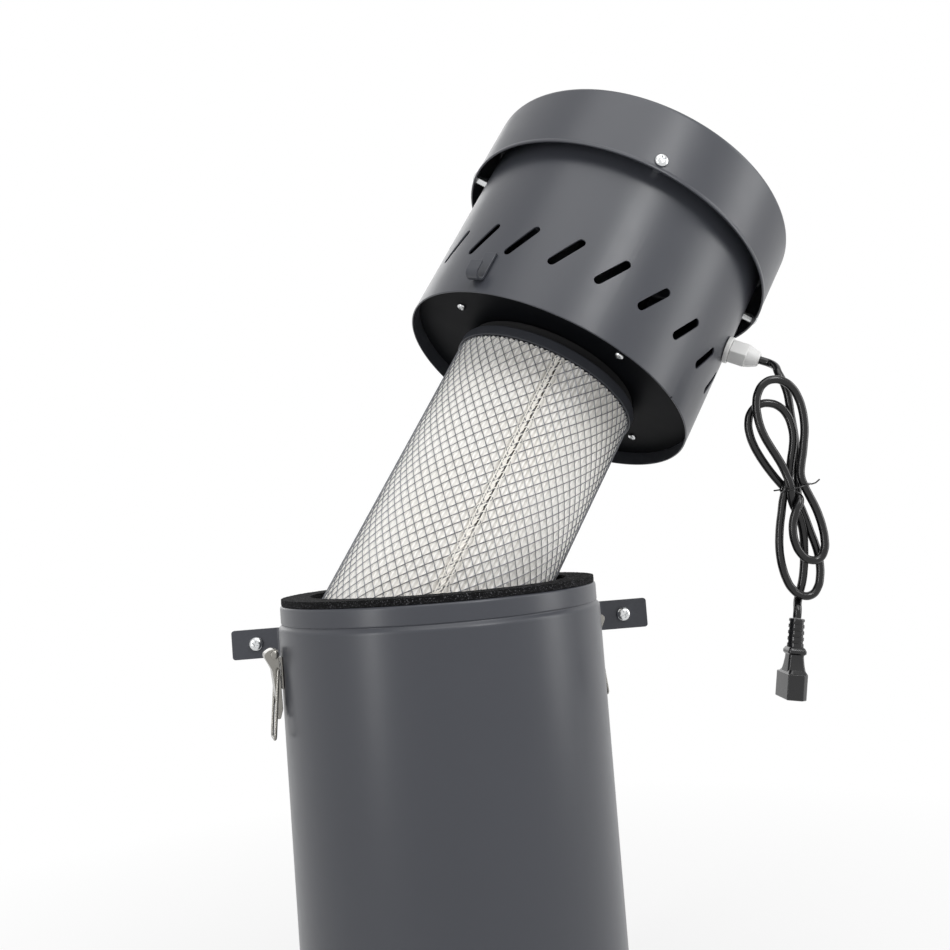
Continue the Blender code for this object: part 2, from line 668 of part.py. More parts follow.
def cartridge(shop: Shop) -> None:
    """The pleated cartridge under the plate, and the rod that holds it."""
    shop.ring("filter_seal", 0.0560, FILTER_RADIUS - 0.004, SEAL_TOP - SEAL_THICKNESS, SEAL_TOP, "rubber")
    end_radius = FILTER_RADIUS + 0.0010
    shop.ring("filter_top_ring", FILTER_BORE, end_radius, RING_TOP - FILTER_RING, RING_TOP, "black_plastic")
    shop.ring(
        "filter_outer_mesh", FILTER_RADIUS - 0.0010, FILTER_RADIUS, MEDIA_BOTTOM, MEDIA_TOP, "plated_steel"
    )
    shop.ring(
        "filter_media", FILTER_BORE + 0.0015, FILTER_RADIUS - 0.0010 - GAP, MEDIA_BOTTOM, MEDIA_TOP, "filter_paper"
    )
    shop.ring(
        "filter_core", FILTER_BORE, FILTER_BORE + 0.0012, MEDIA_BOTTOM, MEDIA_TOP, "plated_steel", None, 40
    )
    shop.ring("filter_bottom_cap", ROD_RADIUS + GAP, end_radius, FILTER_BOTTOM, MEDIA_BOTTOM - GAP, "black_plastic")
    shop.ring("tie_rod", 0, ROD_RADIUS, FILTER_BOTTOM - 0.012, SEAL_TOP, "plated_steel", None, SMALL_STEPS)
    nut = shop.ring(
        "wing_nut", 0, 0.0090, FILTER_BOTTOM - GAP - 0.0080, FILTER_BOTTOM - GAP, "plated_steel", None, SMALL_STEPS
    )
    wings = shop.box("wing_piece", (0.0360, 0.0030, 0.0060), (0, 0, FILTER_BOTTOM - GAP - 0.0050))
    boolean(nut, wings, "UNION")
    hole = shop.ring("nut_cutter", 0, ROD_RADIUS + GAP, FILTER_BOTTOM - 0.05, FILTER_BOTTOM + 0.05, None, None, 16)
    boolean(nut, hole, "DIFFERENCE")
    bar = shop.box("rod_crossbar", (0.1080, 0.0160, 0.0030), (0, 0, SEAL_TOP - 0.0015), "plated_steel")
    rod_hole = shop.ring("rod_cutter", 0, ROD_RADIUS + GAP, 0, 0.03, None, None, SMALL_STEPS)
    boolean(bar, rod_hole, "DIFFERENCE")


# ---------------------------------------------------------------- mains lead
def smooth(points, step: float) -> list:
    """Points about a step apart along a smooth curve through the given ones."""
    given = [Vector(p) for p in points]
    ends = [2 * given[0] - given[1]] + given + [2 * given[-1] - given[-2]]
    made = []
    for a, b, c, d in zip(ends, ends[1:], ends[2:], ends[3:]):
        count = max(1, round((c - b).length / step))
        for i in range(count):
            t = i / count
            made.append(
                0.5 * (2 * b + (c - a) * t + (2 * a - 5 * b + 4 * c - d) * t**2 + (3 * b - a - 3 * c + d) * t**3)
            )
    return made + [given[-1]]


def cord(shop: Shop, gland_tip: Vector, gland_way: Vector) -> None:
    """The lead from the gland, the hank that it is tied in, its tail and the connector."""
    rim = CANISTER_HEIGHT
    start = gland_tip + GAP * gland_way
    lead = [start, start + 0.007 * gland_way, (0.2852, -0.0010, rim + 0.1545), (0.2872, -0.0062, rim + 0.1500)]
    shop.wire("cord_lead", smooth(lead, 0.005), CORD_DIAMETER / 2, "black_plastic", None, 2)
    outline = [
        (0.2713, 0.1526), (0.2590, 0.1386), (0.2498, 0.1160), (0.2533, 0.0961), (0.2651, 0.0717),
        (0.2745, 0.0650), (0.2745, 0.0555), (0.2684, 0.0324), (0.2651, 0.0054), (0.2690, -0.0180),
        (0.2740, -0.0313), (0.2860, -0.0313), (0.3002, -0.0208), (0.3080, 0.0114), (0.3054, 0.0335),
        (0.2955, 0.0555), (0.2955, 0.0655), (0.3006, 0.0987), (0.2997, 0.1300), (0.2867, 0.1526),
    ]
    upright = Matrix.Translation((0, CORD_PLANE, rim)) @ Matrix.Rotation(math.pi / 2, 4, "X")
    shop.prism("cord_hank", outline, HANK_THICKNESS, "black_plastic", upright)
    waist = Vector(((0.2745 + 0.2955) / 2, CORD_PLANE, rim + 0.0605))
    width, depth, band = 0.0210 + 2 * GAP, HANK_THICKNESS + 2 * GAP, 0.0012
    tie = shop.box("cord_tie", (width + 2 * band, depth + 2 * band, 0.0030), waist, "black_plastic")
    boolean(tie, shop.box("tie_cutter", (width, depth, 0.02), waist), "DIFFERENCE")

    boot = Vector((0.2770, CORD_PLANE, rim - 0.0417))
    way = Vector((-0.164, 0.0, -0.986)).normalized()
    tail = [Vector((0.2787, CORD_PLANE, rim - 0.0325)), boot - GAP * way]
    shop.wire("cord_tail", tail, CORD_DIAMETER / 2, "black_plastic", None, 2)
    frame = Matrix.Translation(boot) @ way.to_track_quat("Z", "Y").to_matrix().to_4x4()
    shop.frame_at("connector_frame", frame)
    body = shop.box("connector", (0.0270, 0.0170, 0.0210), (0, 0, 0.0515), "black_plastic", None, 0.0020)
    relief = shop.turned(
        "boot_piece",
        [(0, 0.0430), (0.0080, 0.0430), (0.0072, 0.0290), (0.0086, 0.0270), (0.0086, 0.0220), (0.0063, 0.0215),
         (0.0060, 0), (0, 0)],
        None, None, SMALL_STEPS,
    )
    boolean(body, relief, "UNION")


def build() -> None:
    """Makes every piece."""
    shop = Shop()
    canister(shop)
    brackets(shop)
    for name, azimuth in LATCH_AZIMUTHS.items():
        latch(shop, name, azimuth)
    place = head_frame()
    shop.frame_at("head_frame", place)
    drum(shop)
    catches(shop)
    gland(shop)
    motor(shop)
    cartridge(shop)
    tip = place @ radial(GLAND_AZIMUTH, DRUM_RADIUS, GLAND_HEIGHT) @ Vector((0, 0, GLAND_LENGTH))
    base = place @ radial(GLAND_AZIMUTH, DRUM_RADIUS, GLAND_HEIGHT) @ Vector((0, 0, 0))
    shop.frame_at("cord_frame", Matrix.Identity(4))
    cord(shop, tip, (tip - base).normalized())


build()
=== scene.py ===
"""The finished look of a dust collector: painted canister, lift-off motor head, cartridge and mains lead.

Every piece lies where its solid lies: metres, +Z up, the canister's bottom on the floor and the viewer on
the -Y side.
"""

import logging
import math
from dataclasses import dataclass
from enum import Enum
from typing import ClassVar, Iterable, Optional, Sequence

import bmesh
import bpy
from mathutils import Matrix, Vector, noise


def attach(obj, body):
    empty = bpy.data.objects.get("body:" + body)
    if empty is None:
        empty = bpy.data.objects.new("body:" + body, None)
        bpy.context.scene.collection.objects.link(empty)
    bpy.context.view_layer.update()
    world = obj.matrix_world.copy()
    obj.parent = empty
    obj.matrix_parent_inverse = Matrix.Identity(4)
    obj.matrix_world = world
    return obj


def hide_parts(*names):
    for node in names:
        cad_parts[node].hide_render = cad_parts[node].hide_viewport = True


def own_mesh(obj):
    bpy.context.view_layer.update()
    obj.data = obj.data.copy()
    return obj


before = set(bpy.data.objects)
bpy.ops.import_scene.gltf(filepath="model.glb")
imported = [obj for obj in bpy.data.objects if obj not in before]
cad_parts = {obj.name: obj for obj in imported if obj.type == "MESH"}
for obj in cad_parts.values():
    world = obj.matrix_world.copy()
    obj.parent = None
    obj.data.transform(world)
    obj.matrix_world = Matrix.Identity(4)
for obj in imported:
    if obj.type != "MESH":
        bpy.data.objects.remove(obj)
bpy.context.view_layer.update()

LOG = logging.getLogger("dust_collector")

Pair = tuple[float, float]
Corner = tuple[float, float, float]
Mesh = bmesh.types.BMesh
Tree = bpy.types.NodeTree
Socket = bpy.types.NodeSocket

MM = 0.001
STEPS = 192  # round the big turned pieces
SMALL_STEPS = 40
HARD_EDGE = math.radians(38)
QUARTER = math.pi / 2
LATCH_AZIMUTHS = (196.0, 16.0)  # left and right


# ---------------------------------------------------------------- colour and nodes
def linear(colour: str) -> tuple[float, float, float, float]:
    """Turns an sRGB hex colour to linear light.

    Args:
        colour: Six hex digits after a hash.

    Returns:
        Red, green, blue and an alpha of 1.
    """
    parts = [int(colour[i : i + 2], 16) / 255 for i in (1, 3, 5)]
    red, green, blue = (c / 12.92 if c <= 0.04045 else ((c + 0.055) / 1.055) ** 2.4 for c in parts)
    return red, green, blue, 1.0


def empty_tree(owner: bpy.types.Material | bpy.types.World) -> Tree:
    """Gives a material or a world an empty node tree."""
    owner.use_nodes = True
    owner.node_tree.nodes.clear()
    return owner.node_tree


def add_node(
    tree: Tree, kind: str, settings: Optional[dict] = None, links: Optional[dict] = None
) -> bpy.types.Node:
    """Adds a node with its settings and its links.

    Args:
        tree: The material's or the world's node tree.
        kind: The node's type.
        settings: Values by the name or number of an input, or by the name of a property.
        links: Output sockets by the name or number of the input that they feed.

    Returns:
        The new node.
    """
    node = tree.nodes.new(kind)
    for name, value in (settings or {}).items():
        if isinstance(name, int) or name in node.inputs:
            node.inputs[name].default_value = value
        else:
            setattr(node, name, value)
    for name, source in (links or {}).items():
        tree.links.new(source, node.inputs[name])
    return node


def per_metre(spacing_mm: float) -> float:
    """The scale that gives a pattern this spacing, on coordinates in metres."""
    return 1000.0 / spacing_mm


def clouds(tree: Tree, place: Socket, spacing_mm: float, detail: float, **settings: float) -> Socket:
    """Noise with this spacing, as a value."""
    settings = {"Scale": per_metre(spacing_mm), "Detail": detail, **settings}
    return add_node(tree, "ShaderNodeTexNoise", settings, {"Vector": place}).outputs["Fac"]


def bumped(tree: Tree, depth_mm: float, height: Socket, normal: Optional[Socket] = None) -> Socket:
    """A bump of this depth, as a normal, over another one where there is one."""
    links = {"Height": height, **({"Normal": normal} if normal else {})}
    size = {"Strength": 1.0, "Distance": depth_mm * MM}
    return add_node(tree, "ShaderNodeBump", size, links).outputs["Normal"]


class Slot(Enum):
    """The record's material slots."""

    PAINTED_STEEL = "painted_steel"
    BLACK_PAINT = "black_paint"
    FOAM = "foam"
    RUBBER = "rubber"
    PAPER = "filter_paper"
    MESH = "mesh"
    PLATED_STEEL = "plated_steel"
    NYLON = "nylon"
    COPPER = "copper"
    CAST_METAL = "cast_metal"
    BLACK_PLASTIC = "black_plastic"
    CORD = "cord"


@dataclass(frozen=True)
class Finish:
    """A surface as its maker would order it: base values, and the grain that its process leaves.

    The colour drifts between two near tones over a broad pattern, and the grain is a fine bump.
    """

    name: str
    slot: Slot
    colour: str
    tone: str
    roughness: float
    metallic: float = 0.0
    ior: float = 1.5
    coat: float = 0.0
    drift_mm: float = 60.0
    grain_mm: float = 1.2
    grain_depth_mm: float = 0.02
    roughness_swing: float = 0.05
    smudge: ClassVar[float] = 9.0  # grains across one patch of even roughness

    def material(self) -> bpy.types.Material:
        """The material, made once and then shared.

        Returns:
            The material of this finish.
        """
        if self.name in bpy.data.materials:
            return bpy.data.materials[self.name]
        made = bpy.data.materials.new(self.name)
        tree = empty_tree(made)
        shader = add_node(
            tree,
            "ShaderNodeBsdfPrincipled",
            {"Metallic": self.metallic, "IOR": self.ior, "Coat Weight": self.coat, "Coat Roughness": 0.12},
        )
        add_node(tree, "ShaderNodeOutputMaterial", links={"Surface": shader.outputs["BSDF"]})
        place = add_node(tree, "ShaderNodeTexCoord").outputs["Object"]
        tree.links.new(self.paint(tree, place), shader.inputs["Base Color"])
        tree.links.new(self.polish(tree, place), shader.inputs["Roughness"])
        tree.links.new(self.relief(tree, place), shader.inputs["Normal"])
        return made

    def paint(self, tree: Tree, place: Socket) -> Socket:
        """The colour: two tones over a broad cloud."""
        tones = {"data_type": "RGBA", 6: linear(self.colour), 7: linear(self.tone)}
        mixed = add_node(tree, "ShaderNodeMix", tones, {0: clouds(tree, place, self.drift_mm, 3.0)})
        return mixed.outputs[2]

    def polish(self, tree: Tree, place: Socket) -> Socket:
        """The roughness, which drifts a little over a few grains."""
        low, high = self.roughness - self.roughness_swing, self.roughness + self.roughness_swing
        smudges = clouds(tree, place, self.grain_mm * self.smudge, 4.0)
        ranged = add_node(tree, "ShaderNodeMapRange", {"To Min": low, "To Max": high}, {"Value": smudges})
        return ranged.outputs["Result"]

    def relief(self, tree: Tree, place: Socket) -> Socket:
        """The grain as a bump."""
        return bumped(tree, self.grain_depth_mm, clouds(tree, place, self.grain_mm, 2.0))


@dataclass(frozen=True)
class CellFoam(Finish):
    """Closed-cell sponge: torn cells a millimetre across; the light that their walls catch is painted as pale
    specks.
    """

    # painted glint: a pale colour in a few cells, standing in for light on the cell walls
    painted_glint: str = "#8c8c90"
    painted_glint_mm: float = 0.9
    painted_glint_range: Pair = (0.58, 0.72)
    painted_glint_share: float = 0.55

    def paint(self, tree: Tree, place: Socket) -> Socket:
        """Near black, with painted glints: pale specks in a few of the cells stand in for light caught on
        their walls.
        """
        base = super().paint(tree, place)
        low, high = self.painted_glint_range
        chosen = add_node(
            tree,
            "ShaderNodeMapRange",
            {"From Min": low, "From Max": high, "To Max": self.painted_glint_share},
            {"Value": clouds(tree, place, self.painted_glint_mm, 2.0, Roughness=0.7)},
        )
        painted_glint = {"data_type": "RGBA", 7: linear(self.painted_glint)}
        return add_node(tree, "ShaderNodeMix", painted_glint, {0: chosen.outputs["Result"], 6: base}).outputs[2]

    def relief(self, tree: Tree, place: Socket) -> Socket:
        """Open cells, as pits."""
        cells = add_node(tree, "ShaderNodeTexVoronoi", {"Scale": per_metre(self.grain_mm)}, {"Vector": place})
        return bumped(tree, self.grain_depth_mm, cells.outputs["Distance"])


@dataclass(frozen=True)
class FilterPaper(Finish):
    """Felted paper: soft white, with short fibres and small soft bulges between the mesh strands."""

    bulge_mm: float = 6.5
    bulge_depth_mm: float = 0.22

    def relief(self, tree: Tree, place: Socket) -> Socket:
        """Fibres over soft bulges."""
        fibres = super().relief(tree, place)
        return bumped(tree, self.bulge_depth_mm, clouds(tree, place, self.bulge_mm, 1.0), fibres)


POWDER_COAT = Finish(
    # Polyester powder coat baked on steel: satin, with a faint orange peel drawn a little coarser than it is.
    "powder_coated_steel", Slot.PAINTED_STEEL, "#3c3e44", "#3f4147", 0.33, ior=1.43, drift_mm=90,
    grain_mm=1.6, grain_depth_mm=0.010, roughness_swing=0.035,
)
BLACK_ENAMEL = Finish(
    # Thin black enamel under the head: near matt, so that it stays dark.
    "stoved_black_enamel", Slot.BLACK_PAINT, "#0c0d0f", "#101114", 0.45, ior=1.10, drift_mm=70,
    grain_mm=2.4, grain_depth_mm=0.004,
)
SPONGE = CellFoam(
    # EPDM sponge cut with a knife: matt black with torn cells.
    "cut_sponge_rubber", Slot.FOAM, "#0b0b0c", "#151516", 0.95, ior=1.20, drift_mm=7, grain_mm=1.1,
    grain_depth_mm=0.35,
)
PAPER = FilterPaper(
    # Felted filter paper: bright, warm white, with no gloss.
    "felted_filter_paper", Slot.PAPER, "#fbfaf8", "#f5f2ec", 0.90, ior=1.36, drift_mm=55, grain_mm=0.5,
    grain_depth_mm=0.03,
)
SEAM_GLUE = Finish(
    # Hot-melt bead along the joint of the mesh, gone a little yellow.
    "hot_melt_bead", Slot.PAPER, "#f0ece4", "#f6f3ed", 0.48, drift_mm=14, grain_mm=2.5, grain_depth_mm=0.2,
)
SEAM_SHADE = Finish(
    # Painted shade: a dark strip for the shaded gap under the mesh's joint, where the paper edges fold in.
    "painted_shade_in_joint_gap", Slot.PAPER, "#3c3833", "#59524a", 0.9, drift_mm=9, grain_mm=1.0, grain_depth_mm=0.2,
)
GALVANISED = Finish(
    # Expanded steel, hot-dip galvanised: mid grey with dull gloss.
    "galvanised_expanded_steel", Slot.MESH, "#6c6e73", "#85878c", 0.46, metallic=0.7, drift_mm=25,
    grain_mm=0.9, grain_depth_mm=0.02,
)
ZINC = Finish(
    # Bright zinc plating on screws.
    "bright_zinc_plate", Slot.PLATED_STEEL, "#dcdddd", "#cfd1d3", 0.22, metallic=1.0, drift_mm=5,
    grain_mm=0.8, grain_depth_mm=0.002, roughness_swing=0.07,
)
NICKEL = Finish(
    # Tumbled nickel plate on stamped latches: warm silver, satin.
    "tumbled_nickel_plate", Slot.PLATED_STEEL, "#979590", "#85837e", 0.25, metallic=1.0, drift_mm=11,
    grain_mm=1.4, grain_depth_mm=0.0015, roughness_swing=0.08,
)
NYLON = Finish(
    # Moulded polyamide: milky grey white with a soft gloss.
    "moulded_polyamide", Slot.NYLON, "#dededd", "#d4d4d3", 0.40, ior=1.53, drift_mm=18, grain_mm=1.0,
    grain_depth_mm=0.008,
)
SOFT_VINYL = Finish(
    # Extruded PVC sheath: black with a wet gloss, and a faint draw wave.
    "extruded_soft_vinyl", Slot.CORD, "#0a0a0b", "#111112", 0.20, ior=1.45, drift_mm=12, grain_mm=6.0,
    grain_depth_mm=0.0004,
)
MOULDED_VINYL = Finish(
    # Injection-moulded PVC on the connector: black with a soft gloss.
    "etched_moulded_vinyl", Slot.BLACK_PLASTIC, "#0c0c0d", "#131315", 0.20, ior=1.50, drift_mm=10,
    grain_mm=0.5, grain_depth_mm=0.0015,
)
POTTED_PLASTIC = Finish(
    # Polyurethane end caps poured on the cartridge: dark grey satin.
    "poured_polyurethane", Slot.BLACK_PLASTIC, "#34363b", "#3b3d43", 0.44, ior=1.40, drift_mm=30,
    grain_mm=1.5, grain_depth_mm=0.02,
)
RUBBER = Finish(
    # Moulded rubber seals: matt black.
    "moulded_rubber", Slot.RUBBER, "#171718", "#1e1e20", 0.75, drift_mm=20, grain_mm=0.8, grain_depth_mm=0.02,
)
CAST_ALUMINIUM = Finish(
    # Die-cast aluminium of the motor: grey with a fine sand skin.
    "die_cast_aluminium", Slot.CAST_METAL, "#a3a5a8", "#97999c", 0.48, metallic=1.0, drift_mm=20,
    grain_mm=0.7, grain_depth_mm=0.03,
)
WINDINGS = Finish(
    # Enamelled copper wire under clear varnish.
    "enamelled_copper_wire", Slot.COPPER, "#b36a3a", "#8e4f2a", 0.35, metallic=1.0, coat=0.3, drift_mm=6,
    grain_mm=0.6, grain_depth_mm=0.08,
)


# ---------------------------------------------------------------- the bench
def eased(corners: Sequence[Corner], closed: bool = True, segments: int = 4) -> list[Pair]:
    """Rounds the corners of a profile.

    Args:
        corners: Two coordinates and how far from the corner its rounding starts, all in metres.
        closed: Whether the last corner joins the first.
        segments: How many edges each rounding has.

    Returns:
        The points of the profile.
    """
    points: list[Pair] = []
    count = len(corners)
    for i, (x, y, ease) in enumerate(corners):
        if ease <= 0 or (not closed and i in (0, count - 1)):
            points.append((x, y))
            continue
        here = Vector((x, y))
        arms = (Vector(corners[j % count][:2]) - here for j in (i - 1, i + 1))
        start, end = (here + arm.normalized() * min(ease, 0.49 * arm.length) for arm in arms)
        for k in range(segments + 1):
            t = k / segments
            spot = start * (1 - t) ** 2 + here * 2 * t * (1 - t) + end * t**2
            points.append((spot.x, spot.y))
    return points


def lathe(profile: Sequence[Pair], steps: int = STEPS) -> Mesh:
    """Spins a profile about Z into a closed skin.

    Args:
        profile: Points of radius and height. It closes on itself, unless both its ends are on the axis.
        steps: How many faces go round.

    Returns:
        The turned shape, its faces outwards.
    """
    shape = bmesh.new()
    verts = [shape.verts.new((radius, 0.0, height)) for radius, height in profile]
    on_axis = profile[0][0] == 0 and profile[-1][0] == 0
    edges = [shape.edges.new(ends) for ends in zip(verts, verts[1:] + ([] if on_axis else verts[:1]))]
    bmesh.ops.spin(
        shape, geom=verts + edges, cent=(0, 0, 0), axis=(0, 0, 1), dvec=(0, 0, 0), angle=math.tau,
        steps=steps, use_merge=True, use_duplicate=False,
    )
    bmesh.ops.remove_doubles(shape, verts=shape.verts, dist=1e-6)
    bmesh.ops.recalc_face_normals(shape, faces=shape.faces)
    return shape


def turned(corners: Sequence[Corner], closed: bool = True, segments: int = 4, steps: int = STEPS) -> Mesh:
    """A profile with rounded corners, spun about Z."""
    return lathe(eased(corners, closed, segments), steps)


def rod(radius: float, top: float, bottom: float, steps: int) -> Mesh:
    """A plain round bar about Z, for bores and pins."""
    return lathe([(0, top), (radius, top), (radius, bottom), (0, bottom)], steps)


def loft(sections: Iterable[Sequence[Corner]]) -> Mesh:
    """A closed skin over outlines, one above another.

    Args:
        sections: The outlines, with as many points each.

    Returns:
        The skin, its faces outwards.
    """
    shape = bmesh.new()
    loops = []
    for section in sections:
        verts = [shape.verts.new(spot) for spot in section]
        loops.append([shape.edges.new(ends) for ends in zip(verts, verts[1:] + verts[:1])])
    for low, high in zip(loops, loops[1:]):
        bmesh.ops.bridge_loops(shape, edges=low + high)
    bmesh.ops.holes_fill(shape, edges=shape.edges)
    bmesh.ops.recalc_face_normals(shape, faces=shape.faces)
    return shape


def plate(outline: Sequence[Pair], thickness: float, bevel: float = 0.0, segments: int = 2) -> Mesh:
    """A flat outline with a thickness, centred on its own plane.

    Args:
        outline: The points of the outline, in order.
        thickness: How thick it is along Z.
        bevel: How far its sharp edges are eased.
        segments: How many faces the easing has.

    Returns:
        The plate.
    """
    shape = bmesh.new()
    face = shape.faces.new([shape.verts.new((x, y, -thickness / 2)) for x, y in outline])
    made = bmesh.ops.extrude_face_region(shape, geom=[face])
    bmesh.ops.translate(shape, vec=(0, 0, thickness), verts=only_verts(made["geom"]))
    bmesh.ops.recalc_face_normals(shape, faces=shape.faces)
    if bevel:
        sharp = [edge for edge in shape.edges if edge.is_manifold and edge.calc_face_angle() > HARD_EDGE]
        ease_edges(shape, sharp, bevel, segments)
    return shape


def only_verts(items: Iterable) -> list[bmesh.types.BMVert]:
    """The vertices among what an operator made."""
    return [item for item in items if isinstance(item, bmesh.types.BMVert)]


def ease_edges(shape: Mesh, edges: Sequence, offset: float, segments: int) -> None:
    """Rounds edges."""
    bmesh.ops.bevel(
        shape, geom=edges, offset=offset, segments=segments, profile=0.5, affect="EDGES", material=-1
    )


def block(size: Corner, centre: Corner, bevel: float = 0.0, segments: int = 3) -> Mesh:
    """A block with eased edges.

    Args:
        size: Its three sides.
        centre: Its middle.
        bevel: How far its edges are eased.
        segments: How many faces the easing has.

    Returns:
        The block.
    """
    shape = bmesh.new()
    bmesh.ops.create_cube(shape, size=1.0, matrix=Matrix.Translation(centre) @ Matrix.Diagonal((*size, 1.0)))
    if bevel:
        ease_edges(shape, shape.edges[:], bevel, segments)
    return shape


def strip_outline(path: Sequence[Pair], thickness: float) -> list[Pair]:
    """The outline of a bent strip, from the line along its middle.

    Args:
        path: The middle line.
        thickness: The strip's thickness.

    Returns:
        The outline, in order.
    """
    points = [Vector(p) for p in path]
    sides: list[list[Pair]] = [[], []]
    for i, point in enumerate(points):
        before = (point - points[i - 1]).normalized() if i else points[1] - point
        after = (points[i + 1] - point).normalized() if i + 1 < len(points) else before
        along = (before.normalized() + after).normalized()
        normal = Vector((-along.y, along.x))
        stretch = Vector((-after.y, after.x)).dot(normal)
        for side, sign in zip(sides, (1, -1)):
            spot = point + sign * normal * (thickness / 2 / stretch)
            side.append((spot.x, spot.y))
    return sides[0] + sides[1][::-1]


def quarter_turn() -> list[float]:
    """Angles through a quarter turn, for a rounded corner."""
    return [QUARTER * i / 8 for i in range(9)]


def round_curve(name: str, radius: float, sides: int, capped: bool) -> bpy.types.Curve:
    """An empty curve with a round section, a quarter of whose sides, less one, is given."""
    curve = bpy.data.curves.new(name, "CURVE")
    curve.dimensions = "3D"
    curve.bevel_depth = radius
    curve.bevel_resolution = sides
    curve.use_fill_caps = capped
    return curve


def wire(points: Sequence[Sequence[float]], radius: float, closed: bool = False, sides: int = 3) -> Mesh:
    """A round wire along points.

    Args:
        points: The wire's centreline.
        radius: The wire's radius.
        closed: Whether its ends meet.
        sides: A quarter of its sides, less one.

    Returns:
        The wire as a closed mesh.
    """
    curve = round_curve("guide", radius, sides, not closed)
    spline = curve.splines.new("POLY")
    spline.points.add(len(points) - 1)
    for point, place in zip(spline.points, points):
        point.co = (*place, 1.0)
    spline.use_cyclic_u = closed
    return shape_of(bpy.data.objects.new("guide", curve))


def show(name: str, data: bpy.types.ID) -> bpy.types.Object:
    """Puts an object with this data in the scene."""
    item = bpy.data.objects.new(name, data)
    bpy.context.scene.collection.objects.link(item)
    return item


def mesh_from(name: str, shape: Mesh) -> bpy.types.Mesh:
    """Turns a shape to mesh data, and frees it."""
    mesh = bpy.data.meshes.new(name)
    shape.to_mesh(mesh)
    shape.free()
    return mesh


def shape_of(guide: bpy.types.Object) -> Mesh:
    """Reads an object as its modifiers leave it, then removes it.

    Args:
        guide: A scratch object that isn't in the scene yet.

    Returns:
        Its mesh.
    """
    bpy.context.scene.collection.objects.link(guide)
    graph = bpy.context.evaluated_depsgraph_get()
    mesh = bpy.data.meshes.new_from_object(guide.evaluated_get(graph))
    shape = bmesh.new()
    shape.from_mesh(mesh)
    bmesh.ops.remove_doubles(shape, verts=shape.verts, dist=1e-6)
    bpy.data.objects.remove(guide)
    bpy.data.meshes.remove(mesh)
    return shape


def join(shapes: Iterable[Mesh]) -> Mesh:
    """Puts shapes in one mesh, and frees them."""
    whole = bmesh.new()
    for shape in shapes:
        mesh = mesh_from("part", shape)
        whole.from_mesh(mesh)
        bpy.data.meshes.remove(mesh)
    return whole


class Cut(Enum):
    """What a Boolean does."""

    AWAY = "DIFFERENCE"
    ONTO = "UNION"


def carve(shape: Mesh, tool: Mesh, cut: Cut = Cut.AWAY) -> Mesh:
    """Cuts a tool's shape away from a shape, or joins it on.

    Args:
        shape: What is worked on.
        tool: The shape of the tool.
        cut: Whether it is cut away or joined on.

    Returns:
        The worked shape. The two that were given are freed.
    """
    held = []
    for part in (shape, tool):
        bmesh.ops.recalc_face_normals(part, faces=part.faces)
        held.append(bpy.data.objects.new("blank", mesh_from("blank", part)))
    blank, cutter = held
    bpy.context.scene.collection.objects.link(cutter)
    work = blank.modifiers.new("Cut", "BOOLEAN")
    work.operation = cut.value
    work.solver = "EXACT"
    work.object = cutter
    made = shape_of(blank)
    bpy.data.objects.remove(cutter)
    return made


def placed(shape: Mesh, matrix: Matrix) -> Mesh:
    """Moves a shape to its place."""
    bmesh.ops.transform(shape, matrix=matrix, verts=shape.verts)
    return shape


def seat(
    name: str, shape: Mesh, finish: Finish, body: str, stands_for: Sequence[str] = ()
) -> bpy.types.Object:
    """Makes a shape a finished piece on its body, shaded as one surface up to its hard edges.

    Args:
        name: The piece's name.
        shape: Its mesh, in place. It is freed.
        finish: Its surface.
        body: The body that it moves with.
        stands_for: The solids that it replaces.

    Returns:
        The piece.
    """
    open_edges = sum(not edge.is_manifold for edge in shape.edges)
    mesh = mesh_from(name, shape)
    mesh.shade_smooth()
    mesh.set_sharp_from_angle(angle=HARD_EDGE)
    mesh.materials.append(finish.material())
    piece = show(name, mesh)
    piece.modifiers.new("Even", "WEIGHTED_NORMAL").keep_sharp = True
    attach(piece, body)
    if stands_for:
        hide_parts(*stands_for)
    LOG.info("%s: %d faces, %d open edges, on %s", name, len(mesh.polygons), open_edges, body)
    return piece


def dress(finish: Finish, *nodes: str) -> None:
    """Gives solids that stay as they are their finish."""
    for name in nodes:
        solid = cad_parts[name]
        solid.data.materials.clear()
        solid.data.materials.append(finish.material())
        LOG.info("%s: dressed in %s", name, finish.name)


def up(height: float) -> Matrix:
    """A shift along Z."""
    return Matrix.Translation((0, 0, height))


def about_z(degrees: float) -> Matrix:
    """A turn about Z."""
    return Matrix.Rotation(math.radians(degrees), 4, "Z")


def radial(degrees: float, radius: float, height: float) -> Matrix:
    """A frame at a place round Z, whose own Z points outwards."""
    return about_z(degrees) @ Matrix.Translation((radius, 0, height)) @ Matrix.Rotation(QUARTER, 4, "Y")


def side_on(degrees: float, radius: float = 0.0, height: float = 0.0) -> Matrix:
    """A frame whose X points outwards and Y up, for outlines that are seen from the side."""
    return about_z(degrees) @ Matrix.Translation((radius, 0, height)) @ Matrix.Rotation(QUARTER, 4, "X")


def around(first: float, count: int) -> list[float]:
    """Angles spaced evenly round a circle, in degrees."""
    return [first + 360 * i / count for i in range(count)]


